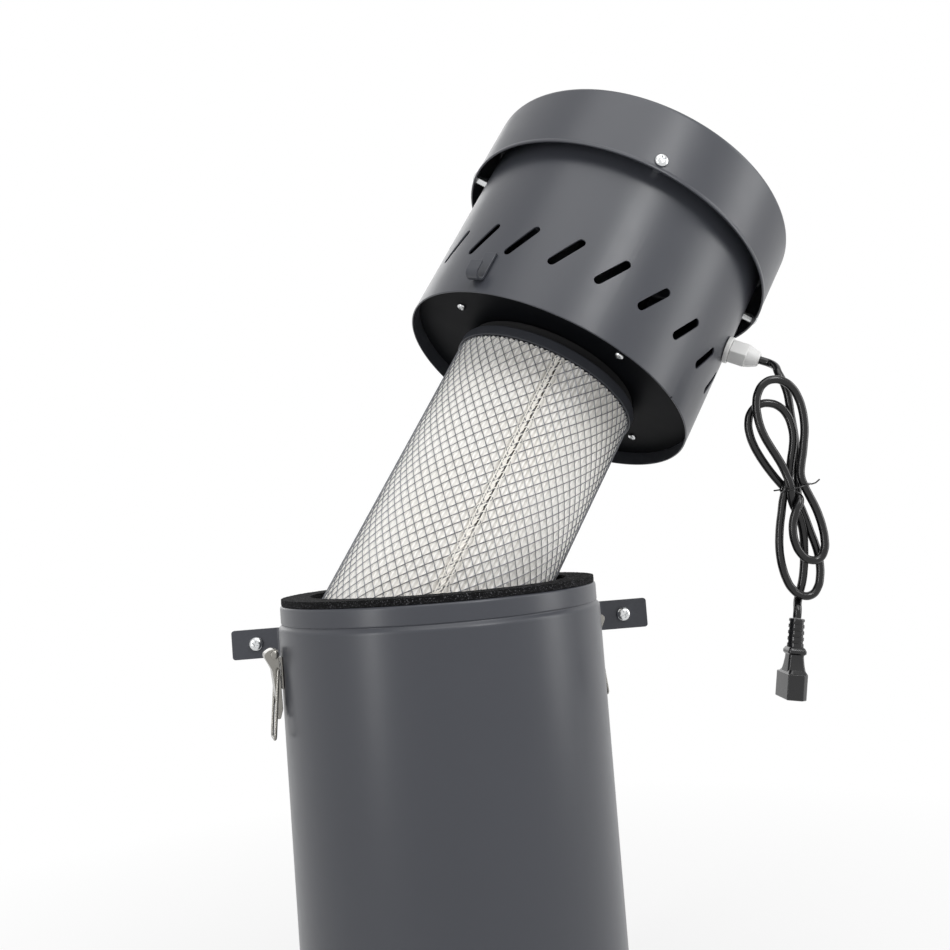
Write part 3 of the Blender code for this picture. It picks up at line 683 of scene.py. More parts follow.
# ---------------------------------------------------------------- studio
@dataclass
class Studio:
    """Camera, softboxes, pale floor and white surroundings."""

    camera_place: Corner = (0.0, -0.79138, 0.47692)
    yaw: float = -0.04519
    pitch: float = 0.05409
    roll: float = -0.07736
    lens_mm: float = 37.86
    sensor_mm: float = 36.0
    ambient: float = 0.44
    floor_size: float = 12.0
    floor_fade: Pair = (0.30, 1.10)  # from near tone to white
    floor_near: float = 0.72  # how much of its own white shows beside the object
    # name, place, what it faces, width, height, watts
    lamps: tuple = (
        ("left_softbox", (-1.55, -1.45, 0.86), (0.0, 0.0, 0.50), 0.24, 1.7, 14.0),
        ("right_softbox", (1.90, -0.30, 0.86), (0.10, 0.0, 0.45), 0.50, 1.7, 12.0),
        ("top_softbox", (0.25, -0.75, 2.15), (0.15, 0.0, 0.55), 1.6, 1.2, 13.0),
        ("front_softbox", (1.02, -1.58, 1.85), (0.14, -0.05, 0.66), 0.42, 0.8, 13.0),
        ("back_softbox", (-0.4, 2.0, 1.3), (0.1, 0.0, 0.5), 1.8, 1.4, 9.0),
    )

    def build(self) -> None:
        """Makes the whole studio."""
        self.camera()
        self.world()
        self.floor()
        for name, place, aim, width, height, watts in self.lamps:
            light = bpy.data.lights.new(name, "AREA")
            light.shape = "RECTANGLE"
            light.size, light.size_y, light.energy = width, height, watts
            lamp = show(name, light)
            facing = (Vector(place) - Vector(aim)).to_track_quat("Z", "Y").to_matrix().to_4x4()
            lamp.matrix_world = Matrix.Translation(place) @ facing
            lamp.visible_camera = False
        bpy.context.scene.view_settings.view_transform = "Standard"
        LOG.info("studio: %d lamps", len(self.lamps))

    def camera(self) -> None:
        """Makes the camera, level with the canister's mouth."""
        data = bpy.data.cameras.new("camera")
        data.lens, data.sensor_width = self.lens_mm, self.sensor_mm
        data.clip_start, data.clip_end = 0.02, 50.0
        camera = show("camera", data)
        camera.matrix_world = (
            Matrix.Translation(self.camera_place)
            @ Matrix.Rotation(self.yaw, 4, "Z")
            @ Matrix.Rotation(QUARTER + self.pitch, 4, "X")
            @ Matrix.Rotation(self.roll, 4, "Z")
        )
        bpy.context.scene.camera = camera

    def world(self) -> None:
        """White where it is seen, directly or in gloss or glass, and a softer level as light."""
        world = bpy.data.worlds.new("white_room")
        bpy.context.scene.world = world
        tree = empty_tree(world)
        range_to = {"To Min": self.ambient, "To Max": 1.0}
        level = add_node(tree, "ShaderNodeMapRange", range_to, {"Value": self.seen_rays(tree)})
        strength = {"Strength": level.outputs["Result"]}
        white = add_node(tree, "ShaderNodeBackground", {"Color": (1, 1, 1, 1)}, strength)
        add_node(tree, "ShaderNodeOutputWorld", links={"Surface": white.outputs["Background"]})

    def seen_rays(self, tree: Tree) -> Socket:
        """Tells the rays that show the surroundings from those that only light.

        Args:
            tree: The node tree to add to.

        Returns:
            A value: 1 for camera, glossy and transmission rays.
        """
        path = add_node(tree, "ShaderNodeLightPath")
        seen = path.outputs["Is Camera Ray"]
        for name in ("Is Glossy Ray", "Is Transmission Ray"):
            pair = {0: seen, 1: path.outputs[name]}
            seen = add_node(tree, "ShaderNodeMath", {"operation": "MAXIMUM"}, pair).outputs["Value"]
        return seen

    def floor(self) -> None:
        """A plain pale floor that keeps the object's shadow and fades to white farther away."""
        shape = bmesh.new()
        bmesh.ops.create_grid(shape, x_segments=2, y_segments=2, size=self.floor_size / 2)
        floor = show("floor", mesh_from("floor", shape))
        paper = bpy.data.materials.new("matt_white_floor")
        tree = empty_tree(paper)
        matt = add_node(tree, "ShaderNodeBsdfDiffuse", {"Color": linear("#e6e6e6")})
        glow = add_node(tree, "ShaderNodeEmission", {"Color": (1, 1, 1, 1), "Strength": 1.0})
        place = add_node(tree, "ShaderNodeTexCoord").outputs["Object"]
        away = add_node(tree, "ShaderNodeVectorMath", {"operation": "LENGTH"}, {0: place}).outputs["Value"]
        near, far = self.floor_fade
        fade = {"From Min": near, "From Max": far, "To Min": self.floor_near, "To Max": 1.0}
        level = add_node(tree, "ShaderNodeMapRange", fade, {"Value": away}).outputs["Result"]
        seen = self.seen_rays(tree)
        share = add_node(tree, "ShaderNodeMath", {"operation": "MULTIPLY"}, {0: seen, 1: level})
        shades = {0: share.outputs["Value"], 1: matt.outputs["BSDF"], 2: glow.outputs["Emission"]}
        mixed = add_node(tree, "ShaderNodeMixShader", links=shades)
        add_node(tree, "ShaderNodeOutputMaterial", links={"Surface": mixed.outputs["Shader"]})
        floor.data.materials.append(paper)


# ---------------------------------------------------------------- mains lead
@dataclass
class MainsLead:
    """The lead: from the gland through a folded hank under a twisted wire tie to its connector."""

    diameter: float = 0.0065
    length: float = 0.917
    tie_place: Corner = (0.2851, -0.0178, 0.4905)
    tie_half: Pair = (0.0112, 0.0106)  # across and deep
    tie_wire: float = 0.0006
    tie_pitch: float = 0.0022
    connector_place: Corner = (0.2770, -0.018, 0.3883)
    connector_way: Corner = (-0.164, 0.0, -0.986)
    relief_slots: Pair = (0.0034, 0.0049)  # the first one's height, and from one to the next
    route: tuple = (
        (0.2768, 0.0112, 0.597), (0.2837, 0.0075, 0.5931), (0.2853, 0.0003, 0.5888),
        (0.2847, -0.0062, 0.583), (0.2868, -0.0092, 0.5752), (0.2891, -0.0095, 0.5668),
        (0.29, -0.0095, 0.558), (0.2904, -0.0095, 0.5493), (0.2911, -0.0096, 0.5405),
        (0.2916, -0.01, 0.5318), (0.2916, -0.0105, 0.5231), (0.2915, -0.0107, 0.5143),
        (0.2911, -0.0108, 0.5055), (0.2903, -0.011, 0.4968), (0.2893, -0.0114, 0.4881),
        (0.289, -0.0126, 0.4795), (0.2913, -0.013, 0.471), (0.2937, -0.0131, 0.4626),
        (0.2958, -0.0136, 0.4541), (0.2981, -0.014, 0.4457), (0.2999, -0.0142, 0.4371),
        (0.3004, -0.0145, 0.4284), (0.2995, -0.0151, 0.4197), (0.2967, -0.0158, 0.4114),
        (0.2906, -0.0168, 0.4055), (0.2822, -0.017, 0.406), (0.276, -0.0156, 0.4118),
        (0.2724, -0.0152, 0.4198), (0.2703, -0.0153, 0.4283), (0.2693, -0.0154, 0.437),
        (0.2693, -0.0155, 0.4458), (0.2702, -0.0155, 0.4545), (0.2716, -0.0156, 0.4631),
        (0.2735, -0.0156, 0.4717), (0.2752, -0.0159, 0.4803), (0.2774, -0.0177, 0.4886),
        (0.2808, -0.0167, 0.4965), (0.2832, -0.0156, 0.5048), (0.2851, -0.0157, 0.5134),
        (0.2871, -0.0159, 0.5219), (0.2883, -0.016, 0.5306), (0.2878, -0.0156, 0.5393),
        (0.2855, -0.0149, 0.5477), (0.2803, -0.0145, 0.5547), (0.2725, -0.0143, 0.5583),
        (0.2639, -0.0141, 0.5576), (0.2571, -0.014, 0.5522), (0.2542, -0.0139, 0.544),
        (0.2545, -0.0137, 0.5353), (0.2567, -0.0135, 0.5268), (0.2602, -0.0132, 0.5188),
        (0.2645, -0.0127, 0.5111), (0.2693, -0.012, 0.5038), (0.2745, -0.0111, 0.4968),
        (0.28, -0.0114, 0.4901), (0.2846, -0.0169, 0.4853), (0.2861, -0.0234, 0.4801),
        (0.282, -0.0255, 0.4729), (0.2789, -0.0251, 0.4648), (0.2779, -0.0245, 0.4561),
        (0.279, -0.024, 0.4474), (0.2823, -0.0236, 0.4394), (0.2886, -0.0233, 0.4335),
        (0.297, -0.0226, 0.4335), (0.3022, -0.0221, 0.4403), (0.3033, -0.0217, 0.449),
        (0.3025, -0.0216, 0.4577), (0.3007, -0.0215, 0.4663), (0.2981, -0.0215, 0.4746),
        (0.2947, -0.0215, 0.4827), (0.2914, -0.0217, 0.4908), (0.2892, -0.0221, 0.4992),
        (0.2902, -0.0224, 0.5079), (0.2922, -0.0226, 0.5164), (0.2938, -0.0227, 0.525),
        (0.2952, -0.0228, 0.5337), (0.2955, -0.0229, 0.5424), (0.2948, -0.0229, 0.5512),
        (0.2928, -0.0229, 0.5597), (0.289, -0.023, 0.5676), (0.2827, -0.023, 0.5736),
        (0.2744, -0.023, 0.5759), (0.2663, -0.023, 0.5731), (0.2611, -0.023, 0.5662),
        (0.2589, -0.023, 0.5577), (0.259, -0.023, 0.549), (0.2603, -0.023, 0.5403),
        (0.2629, -0.023, 0.5319), (0.2666, -0.023, 0.524), (0.2707, -0.023, 0.5163),
        (0.2746, -0.0229, 0.5084), (0.2775, -0.0234, 0.5002), (0.2796, -0.0243, 0.4917),
        (0.28, -0.0223, 0.4833), (0.2825, -0.0185, 0.476), (0.2862, -0.0171, 0.4682),
        (0.2883, -0.0163, 0.4598), (0.2893, -0.0152, 0.4511), (0.2893, -0.0141, 0.4425),
        (0.2889, -0.013, 0.4338), (0.288, -0.0121, 0.4251), (0.2864, -0.0113, 0.4165),
        (0.2839, -0.0104, 0.4082), (0.2806, -0.0126, 0.4006), (0.278, -0.018, 0.3945),
        (0.277, -0.018, 0.3886),
    )

    def build(self) -> None:
        connector = self.connector()
        tie = self.tie()
        cord = self.cord()

    def cord(self) -> bpy.types.Object:
        """The sheathed cord, one smooth curve.

        Returns:
            The cord.
        """
        curve = round_curve("mains_cord", self.diameter / 2, 6, True)
        curve.resolution_u = 9
        spline = curve.splines.new("BEZIER")
        spline.bezier_points.add(len(self.route) - 1)
        for point, place in zip(spline.bezier_points, self.route):
            point.co = place
            point.handle_left_type = point.handle_right_type = "AUTO"
        curve.materials.append(SOFT_VINYL.material())
        cord = show("mains_cord", curve)
        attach(cord, "cord")
        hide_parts("cord_lead", "cord_hank", "cord_tail")
        LOG.info("mains_cord: %d points, %.3f m", len(self.route), self.length)
        return cord

    def tie(self) -> bpy.types.Object:
        """A thin coated wire round the hank's waist, twisted at the left, its ends sticking out.

        Returns:
            The tie.
        """
        middle, pitch, count = Vector(self.tie_place), self.tie_pitch, 28
        half, deep = self.tie_half
        turns = []
        for turn, drop in ((0, 0.0010), (1, -0.0012)):
            for i in range(count):
                angle = math.tau * i / count + math.pi
                across, along = math.cos(angle), math.sin(angle)
                bulge = 1 / (abs(across) ** 3 + abs(along) ** 3) ** (1 / 3)
                lean = pitch * across + drop + pitch * (turn + i / count - 1)
                turns.append(middle + Vector((half * bulge * across, deep * bulge * along, lean)))
        turns.append(middle + Vector((-half - 0.0065, -0.0030, -0.0016)))
        ends = ((-0.002, -0.0006, 0.0012), (0.002, 0.001, 0.0020), (0.0060, 0.003, 0.0044))
        stub = [middle + Vector((half + x, y - deep, z)) for x, y, z in ends]
        shape = join([wire(turns, self.tie_wire), wire(stub, self.tie_wire)])
        return seat("wire_tie", shape, SOFT_VINYL, "cord", ["cord_tie"])

    def connector(self) -> bpy.types.Object:
        """The moulded connector: slotted bend relief, bevelled collar, waisted neck and the shrouded block.

        Returns:
            The connector.
        """
        sleeve = [(0, 0.0225, 0), (0.0063, 0.0225, 0.0006), (0.0059, 0, 0.0008), (0, 0, 0)]
        relief = turned(sleeve, False, steps=SMALL_STEPS)
        bore = self.diameter / 2 + 0.0007
        first, pitch = self.relief_slots
        for row in range(4):
            for turn in around(20, 4):
                slot = block((0.0050, 0.0058, 0.0023), (bore + 0.0025, 0, first + pitch * row), 0.0003, 2)
                relief = carve(relief, placed(slot, about_z(turn)))
        collar = self.tapered(
            [
                (0.0215, 0.0100, 0.0100), (0.0226, 0.0132, 0.0126), (0.0246, 0.0156, 0.0144),
                (0.0266, 0.0156, 0.0144), (0.0278, 0.0134, 0.0124),
            ],
            0.0026,
        )
        neck = self.tapered(
            [
                (0.0265, 0.0128, 0.0116), (0.0300, 0.0130, 0.0118), (0.0360, 0.0150, 0.0130),
                (0.0410, 0.0180, 0.0146), (0.0425, 0.0188, 0.0148),
            ],
            0.0030,
        )
        way = Vector(self.connector_way).normalized().to_track_quat("Z", "Y").to_matrix().to_4x4()
        shape = join([relief, collar, neck, self.socket_block()])
        shape = placed(shape, Matrix.Translation(self.connector_place) @ way)
        return seat("moulded_connector", shape, MOULDED_VINYL, "cord", ["connector"])

    def tapered(self, sections: Sequence[Corner], ease: float) -> Mesh:
        """A skin over rounded rectangles, one above another.

        Args:
            sections: Height, width and depth of each.
            ease: How far their corners are rounded.

        Returns:
            The closed skin.
        """
        outlines = []
        for height, width, depth in sections:
            x, y = width / 2, depth / 2
            corners = eased([(x, y, ease), (-x, y, ease), (-x, -y, ease), (x, -y, ease)])
            outlines.append([(*spot, height) for spot in corners])
        return loft(outlines)

    def socket_block(self) -> Mesh:
        """The block, two of its long corners cut off, with the three contact slots in its face.

        Returns:
            The block.
        """
        wide, deep, cut = 0.0135, 0.0085, 0.0046
        outline = [
            (-wide + cut, -deep), (wide - cut, -deep), (wide, -deep + cut), (wide, deep), (-wide, deep),
            (-wide, -deep + cut),
        ]
        body = placed(plate(outline, 0.0200, 0.0008, 3), up(0.0519))
        for x, y in ((0, -0.0028), (-0.0068, 0.0012), (0.0068, 0.0012)):
            body = carve(body, block((0.0022, 0.0052, 0.012), (x, y, 0.0600), 0.0002, 1))
        shoulder = [(0.0395, 0.0200, 0.0130), (0.0415, 0.0240, 0.0150), (0.0425, 0.0250, 0.0156)]
        return join([body, self.tapered(shoulder, 0.0030)])


# ---------------------------------------------------------------- canister
@dataclass
class PanScrew:
    """A pan-head screw with a cross recess, its seat at the origin and its head along Z."""

    head_radius: float
    head_height: float
    shank_radius: float
    tip: float

    def shape(self) -> Mesh:
        """The screw's mesh.

        Returns:
            The screw, in its own frame.
        """
        r, h = self.head_radius, self.head_height
        dome = ((0.0, 1.0), (0.35, 0.985), (0.62, 0.90), (0.82, 0.72), (0.95, 0.44), (1.0, 0.16), (0.98, 0.0))
        profile = [(out * r, high * h) for out, high in dome]
        profile += [(self.shank_radius, 0.0), (self.shank_radius, self.tip), (0.0, self.tip)]
        screw = lathe(profile, SMALL_STEPS)
        arm, width, depth = 0.52 * r, 0.26 * r, 0.55 * h
        for turn in (0, 90):
            bit = block((2 * arm, width, 2 * depth), (0, 0, h), 0.1 * width, 1)
            screw = carve(screw, placed(bit, about_z(turn + 0.5)))
        return screw


@dataclass
class Canister:
    """The drawn steel can: rolled mouth band, welded floor, rear inlet, foam ring and its two bent lugs."""

    height: float = 0.430
    radius: float = 0.125
    sheet: float = 0.0012
    band_height: float = 0.0137
    band_radius: float = 0.1230
    mouth: float = 0.1030
    weld_azimuth: float = 62.0
    foam_inner: float = 0.0994
    foam_outer: float = 0.1222
    foam_top: float = 0.0053
    foam_grain: float = 0.00026
    inlet_radius: float = 0.0315
    inlet_height: float = 0.120
    inlet_reach: float = 0.030
    bolt_x: float = 0.168
    lug_past_bolt: float = 0.022
    lug_azimuth: float = 29.1
    lug_back: float = 0.1305
    lug_sheet: float = 0.0020
    lug_top: float = 0.028
    lug_height: float = 0.0265
    lug_corner: float = 0.0030
    body: ClassVar[str] = "canister"

    def build(self) -> None:
        """Makes every piece that stays with the canister, but for the latches."""
        self.shell()
        self.floor()
        self.inlet()
        self.foam()
        for name, side in (("left", -1), ("right", 1)):
            self.lug(name, side)

    def shell(self) -> None:
        """The can's wall, necked in under a band that ends in a flange round the mouth."""
        top, band, wall = self.height, self.height - self.band_height, self.sheet
        r, b = self.radius, self.band_radius
        skin = turned(
            [
                (self.mouth, top, 0.0003), (b, top, 0.0026), (b, band + 0.0004, 0.0007),
                (b - 0.0007, band - 0.0003, 0.0004), (b - 0.0002, band - 0.0011, 0.0004),
                (r, band - 0.0032, 0.0018), (r, 0, 0.0006), (r - wall, 0, 0),
                (r - wall, band - 0.0040, 0.0008), (b - wall - 0.0008, band - 0.0012, 0.0004),
                (b - wall, top - wall, 0.0014), (self.mouth, top - wall, 0.0003),
            ],
            segments=5,
        )
        hole = placed(rod(self.inlet_radius + 0.0002, 0.02, -0.02, 64), radial(90, r, self.inlet_height))
        seat("canister_wall", carve(skin, hole), POWDER_COAT, self.body, ["canister_shell"])
        seam = [about_z(self.weld_azimuth) @ Vector((r + 0.0001, 0, z)) for z in (0.004, 0.20, band - 0.006)]
        seat("canister_weld_line", wire(seam, 0.0005), POWDER_COAT, self.body)

    def floor(self) -> None:
        """The flanged floor, pressed up inside the wall's lower edge."""
        outer = self.radius - self.sheet - 0.0003
        inner = outer - self.sheet
        profile = [
            (0, 0.0015, 0), (inner, 0.0015, 0.002), (inner, 0.012, 0.0004), (outer, 0.012, 0.0004),
            (outer, 0, 0.0022), (0, 0, 0),
        ]
        seat("canister_base", turned(profile, False), POWDER_COAT, self.body, ["canister_floor"])

    def inlet(self) -> None:
        """The round spigot at the back, its lip rolled, with the weld bead where it meets the wall."""
        r, wall, reach, sunk = self.inlet_radius, self.sheet, self.inlet_reach, -0.012
        tube = turned(
            [
                (r - wall, reach, 0.0005), (r, reach, 0.0005), (r, reach - 0.0030, 0.0004),
                (r - 0.0004, reach - 0.0036, 0.0004), (r - 0.0004, sunk, 0.0003), (r - wall, sunk, 0.0003),
            ],
            steps=96,
        )
        place = radial(90, self.radius, self.inlet_height)
        seat("inlet_tube", placed(tube, place), POWDER_COAT, self.body, ["inlet_spigot"])
        bead, count = [], 120
        for i in range(count):
            angle = math.tau * i / count
            across, height = (r + 0.0002) * math.cos(angle), (r + 0.0002) * math.sin(angle)
            out = math.sqrt(self.radius**2 - across**2)
            ripple = 0.00025 * math.sin(40 * angle)
            bead.append((across * (1 + ripple / r), out + 0.0003 + ripple, self.inlet_height + height))
        seat("inlet_weld", wire(bead, 0.0014, True), POWDER_COAT, self.body)

    def foam(self) -> None:
        """The foam ring, cut by hand: its skin is granular and its edges a little ragged."""
        low, high = self.height + 0.0003, self.height + self.foam_top - 0.0004
        inner, outer = self.foam_inner + 0.0004, self.foam_outer - 0.0004
        across, down = 17, 4
        profile = [(inner + (outer - inner) * i / across, high) for i in range(across + 1)]
        profile += [(outer, high - (high - low) * i / down) for i in range(1, down)]
        profile += [(outer, low), (inner, low)]
        profile += [(inner, low + (high - low) * i / down) for i in range(1, down)]
        ring = lathe(profile, 560)
        for vert in ring.verts:
            if vert.co.z < low + 0.0001:
                continue
            grain = noise.noise(vert.co / 0.0011) + 0.6 * noise.noise(vert.co / 0.0030)
            vert.co += vert.normal * grain * self.foam_grain
        piece = seat("foam_ring", ring, SPONGE, self.body, ["rim_gasket"])
        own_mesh(piece)

    def lug(self, name: str, side: int) -> None:
        """A bent lug, spot-welded to the wall, with its bolt.

        Args:
            name: Which side it is on.
            side: -1 or 1.
        """
        middle = self.height - self.lug_top - self.lug_height / 2
        back = self.lug_back - self.lug_sheet / 2
        weld = about_z(self.lug_azimuth) @ Vector((self.radius + 0.0009, 0, 0))
        tip, elbow = self.bolt_x + self.lug_past_bolt, self.bolt_x - self.lug_past_bolt
        bend = [(side * tip, back, 0), (side * elbow, back, 0.0035), (side * weld.x, weld.y, 0)]
        strip = strip_outline(eased(bend, False, 6), self.lug_sheet)
        lug = placed(plate(strip, self.lug_height, 0.0004), up(middle))
        stand = Matrix.Translation((0, back, 0)) @ Matrix.Rotation(QUARTER, 4, "X")
        away = self.lug_corner
        for end in (-1, 1):
            edge = middle + end * self.lug_height / 2
            notch = [(tip + away, edge + end * away), (tip - away, edge + end * away)]
            notch += [
                (tip - away + away * math.sin(a), edge + end * away * (math.cos(a) - 1))
                for a in quarter_turn()
            ]
            notch.append((tip + away, edge - end * away))
            lug = carve(lug, placed(plate([(side * x, z) for x, z in notch], 0.02), stand))
        seat(f"{name}_lug", lug, POWDER_COAT, self.body, [f"{name}_bracket"])
        at_bolt = Matrix.Translation((side * self.bolt_x, back, middle)) @ Matrix.Rotation(QUARTER, 4, "X")
        bolt = PanScrew(head_radius=0.0065, head_height=0.0040, shank_radius=0.0040, tip=-0.012).shape()
        bolt = placed(bolt, at_bolt @ up(self.lug_sheet / 2 + 0.0003) @ about_z(22 * side))
        seat(f"{name}_lug_screw", bolt, ZINC, self.body, [f"{name}_bracket_bolt"])


# ---------------------------------------------------------------- latches
@dataclass
class Latch:
    """A toggle latch: an eared base, a channel lever on a domed rivet and a wire bail."""

    side: str
    azimuth: float
    height: float = 0.430
    radius: float = 0.125
    pivot: Pair = (0.0057, -0.0340)
    hang: Pair = (0.0043, -0.0450)
    ear_radius: float = 0.0030
    rivet_radius: float = 0.0030
    rivet_height: float = 0.0010
    rivet_gap: float = 0.0002
    lever_width: float = 0.0140
    bail_length: float = 0.0505
    bail_wire: float = 0.0022
    bail_half: float = 0.0096
    bail_corner: float = 0.0038
    bail_hang: float = 6.0
    # the lever from the side, from its pivot: the web's outer line, then back along the cheek
    web: tuple = (
        (-0.0025, 0.0032), (0.0016, 0.0044), (0.0046, 0.0034), (0.0074, 0.0014), (0.0076, -0.0012),
        (0.0048, -0.0065), (0.0026, -0.0110), (0.0018, -0.0200), (0.0002, -0.0410), (0.0010, -0.0470),
    )
    heel: tuple = ((-0.0014, -0.0470), (-0.0036, -0.0400), (-0.0031, -0.0120))

    def build(self) -> None:
        """Makes the base, the lever and the bail."""
        self.place = side_on(self.azimuth, self.radius, self.height)
        self.base()
        self.lever()
        self.bail()

    def base(self) -> None:
        """The base plate with its two ears and the pivot's rivet."""
        px, py = self.pivot
        ear, inner, reach = (self.lever_width / 2 + more for more in (-0.0014, -0.0025, 0.0001))
        outline = [(0.0003, -0.060), (0.0016, -0.060), (0.0018, -0.0400)]
        for i in range(12):
            angle = math.radians(-90 + 210 * i / 11)
            outline.append((px + self.ear_radius * math.cos(angle), py + self.ear_radius * math.sin(angle)))
        outline += [(0.0018, -0.0365), (0.0003, -0.0365)]
        base = plate(outline, 2 * ear, 0.00025)
        base = carve(base, block((0.02, 0.03, 2 * inner), (0.0115, -0.035, 0)))
        at_pivot = Matrix.Translation((px, py, 0))
        rivet = [rod(0.0016, reach, -reach, 32)]
        for turn in (0, math.pi):
            rivet.append(placed(self.rivet_head(), Matrix.Rotation(turn, 4, "Y") @ up(self.lever_width / 2)))
        shape = placed(join([base, placed(join(rivet), at_pivot)]), self.place)
        seat(f"{self.side}_latch_plate", shape, NICKEL, "canister", [f"{self.side}_latch_base"])

    def rivet_head(self) -> Mesh:
        """The rivet's domed head, a hair clear of the lever's cheek."""
        r, h, gap = self.rivet_radius, self.rivet_height, self.rivet_gap
        dome = ((0, 1.0), (0.45, 0.94), (0.78, 0.70), (1.0, 0.30), (0.98, 0.0), (0.70, 0.0))
        return lathe([(out * r, gap + high * h) for out, high in dome] + [(0.70 * r, 0.0), (0.0, 0.0)], 32)

    def lever(self) -> None:
        """The folded lever: a web over two cheeks, dished round its rivet and round the bail's ends."""
        px, py = self.pivot
        web = [(px + x, py + y) for x, y in self.web]
        outline = [(*web[0], 0)] + [(*p, 0.0012) for p in web[1:-1]] + [(*web[-1], 0.0010)]
        outline += [(px + x, py + y, 0.0008) for x, y in self.heel]
        lever = plate(eased(outline), self.lever_width, 0.0004, 3)
        inset = [(x - 0.0009, y - 0.0009) for x, y in web[1:-1]]
        above, below, behind = py + 0.010, py - 0.056, -0.02
        hollow = [(inset[0][0] - 0.0001, above)] + inset
        hollow += [(inset[-1][0] - 0.0004, below), (behind, below), (behind, above)]
        lever = carve(lever, plate(hollow, self.lever_width - 0.0020))
        eye = Matrix.Translation((px + 0.0004, py - 0.0415, 0))
        lever = carve(lever, placed(rod(0.0011, 0.02, -0.02, 24), eye))
        groove = 0.0006
        for face in (-self.lever_width / 2, self.lever_width / 2):
            for spot, radius in ((self.pivot, 0.0032), (self.hang, 0.0015)):
                low, high, outer = face - groove, face + groove, radius + groove
                ring = lathe([(radius, high), (outer, high), (outer, low), (radius, low)], 32)
                lever = carve(lever, placed(ring, Matrix.Translation((*spot, 0))))
        lever = placed(lever, self.place)
        seat(f"{self.side}_latch_channel", lever, NICKEL, f"{self.side}_lever", [f"{self.side}_latch_lever"])

    def bail(self) -> None:
        """The wire loop: two legs hooked in the lever's sides, and a bar across the end."""
        angle = math.radians(self.bail_hang)
        down = Vector((math.sin(angle), -math.cos(angle)))
        half, length, corner = self.bail_half, self.bail_length, self.bail_corner
        flat = [
            (0.0, self.lever_width / 2 - 0.0011), (0.0, half - 0.0014), (0.0004, half - 0.0004),
            (0.0016, half), (0.012, half), (0.030, half),
        ]
        flat += [
            (length - corner + corner * math.sin(a), half - corner + corner * math.cos(a))
            for a in quarter_turn()
        ]
        flat += [(along, -across) for along, across in reversed(flat)]
        points = [(*(Vector(self.hang) + along * down), across) for along, across in flat]
        shape = placed(wire(points, self.bail_wire / 2, sides=4), self.place)
        seat(f"{self.side}_wire_bail", shape, NICKEL, f"{self.side}_bail_body", [f"{self.side}_bail"])


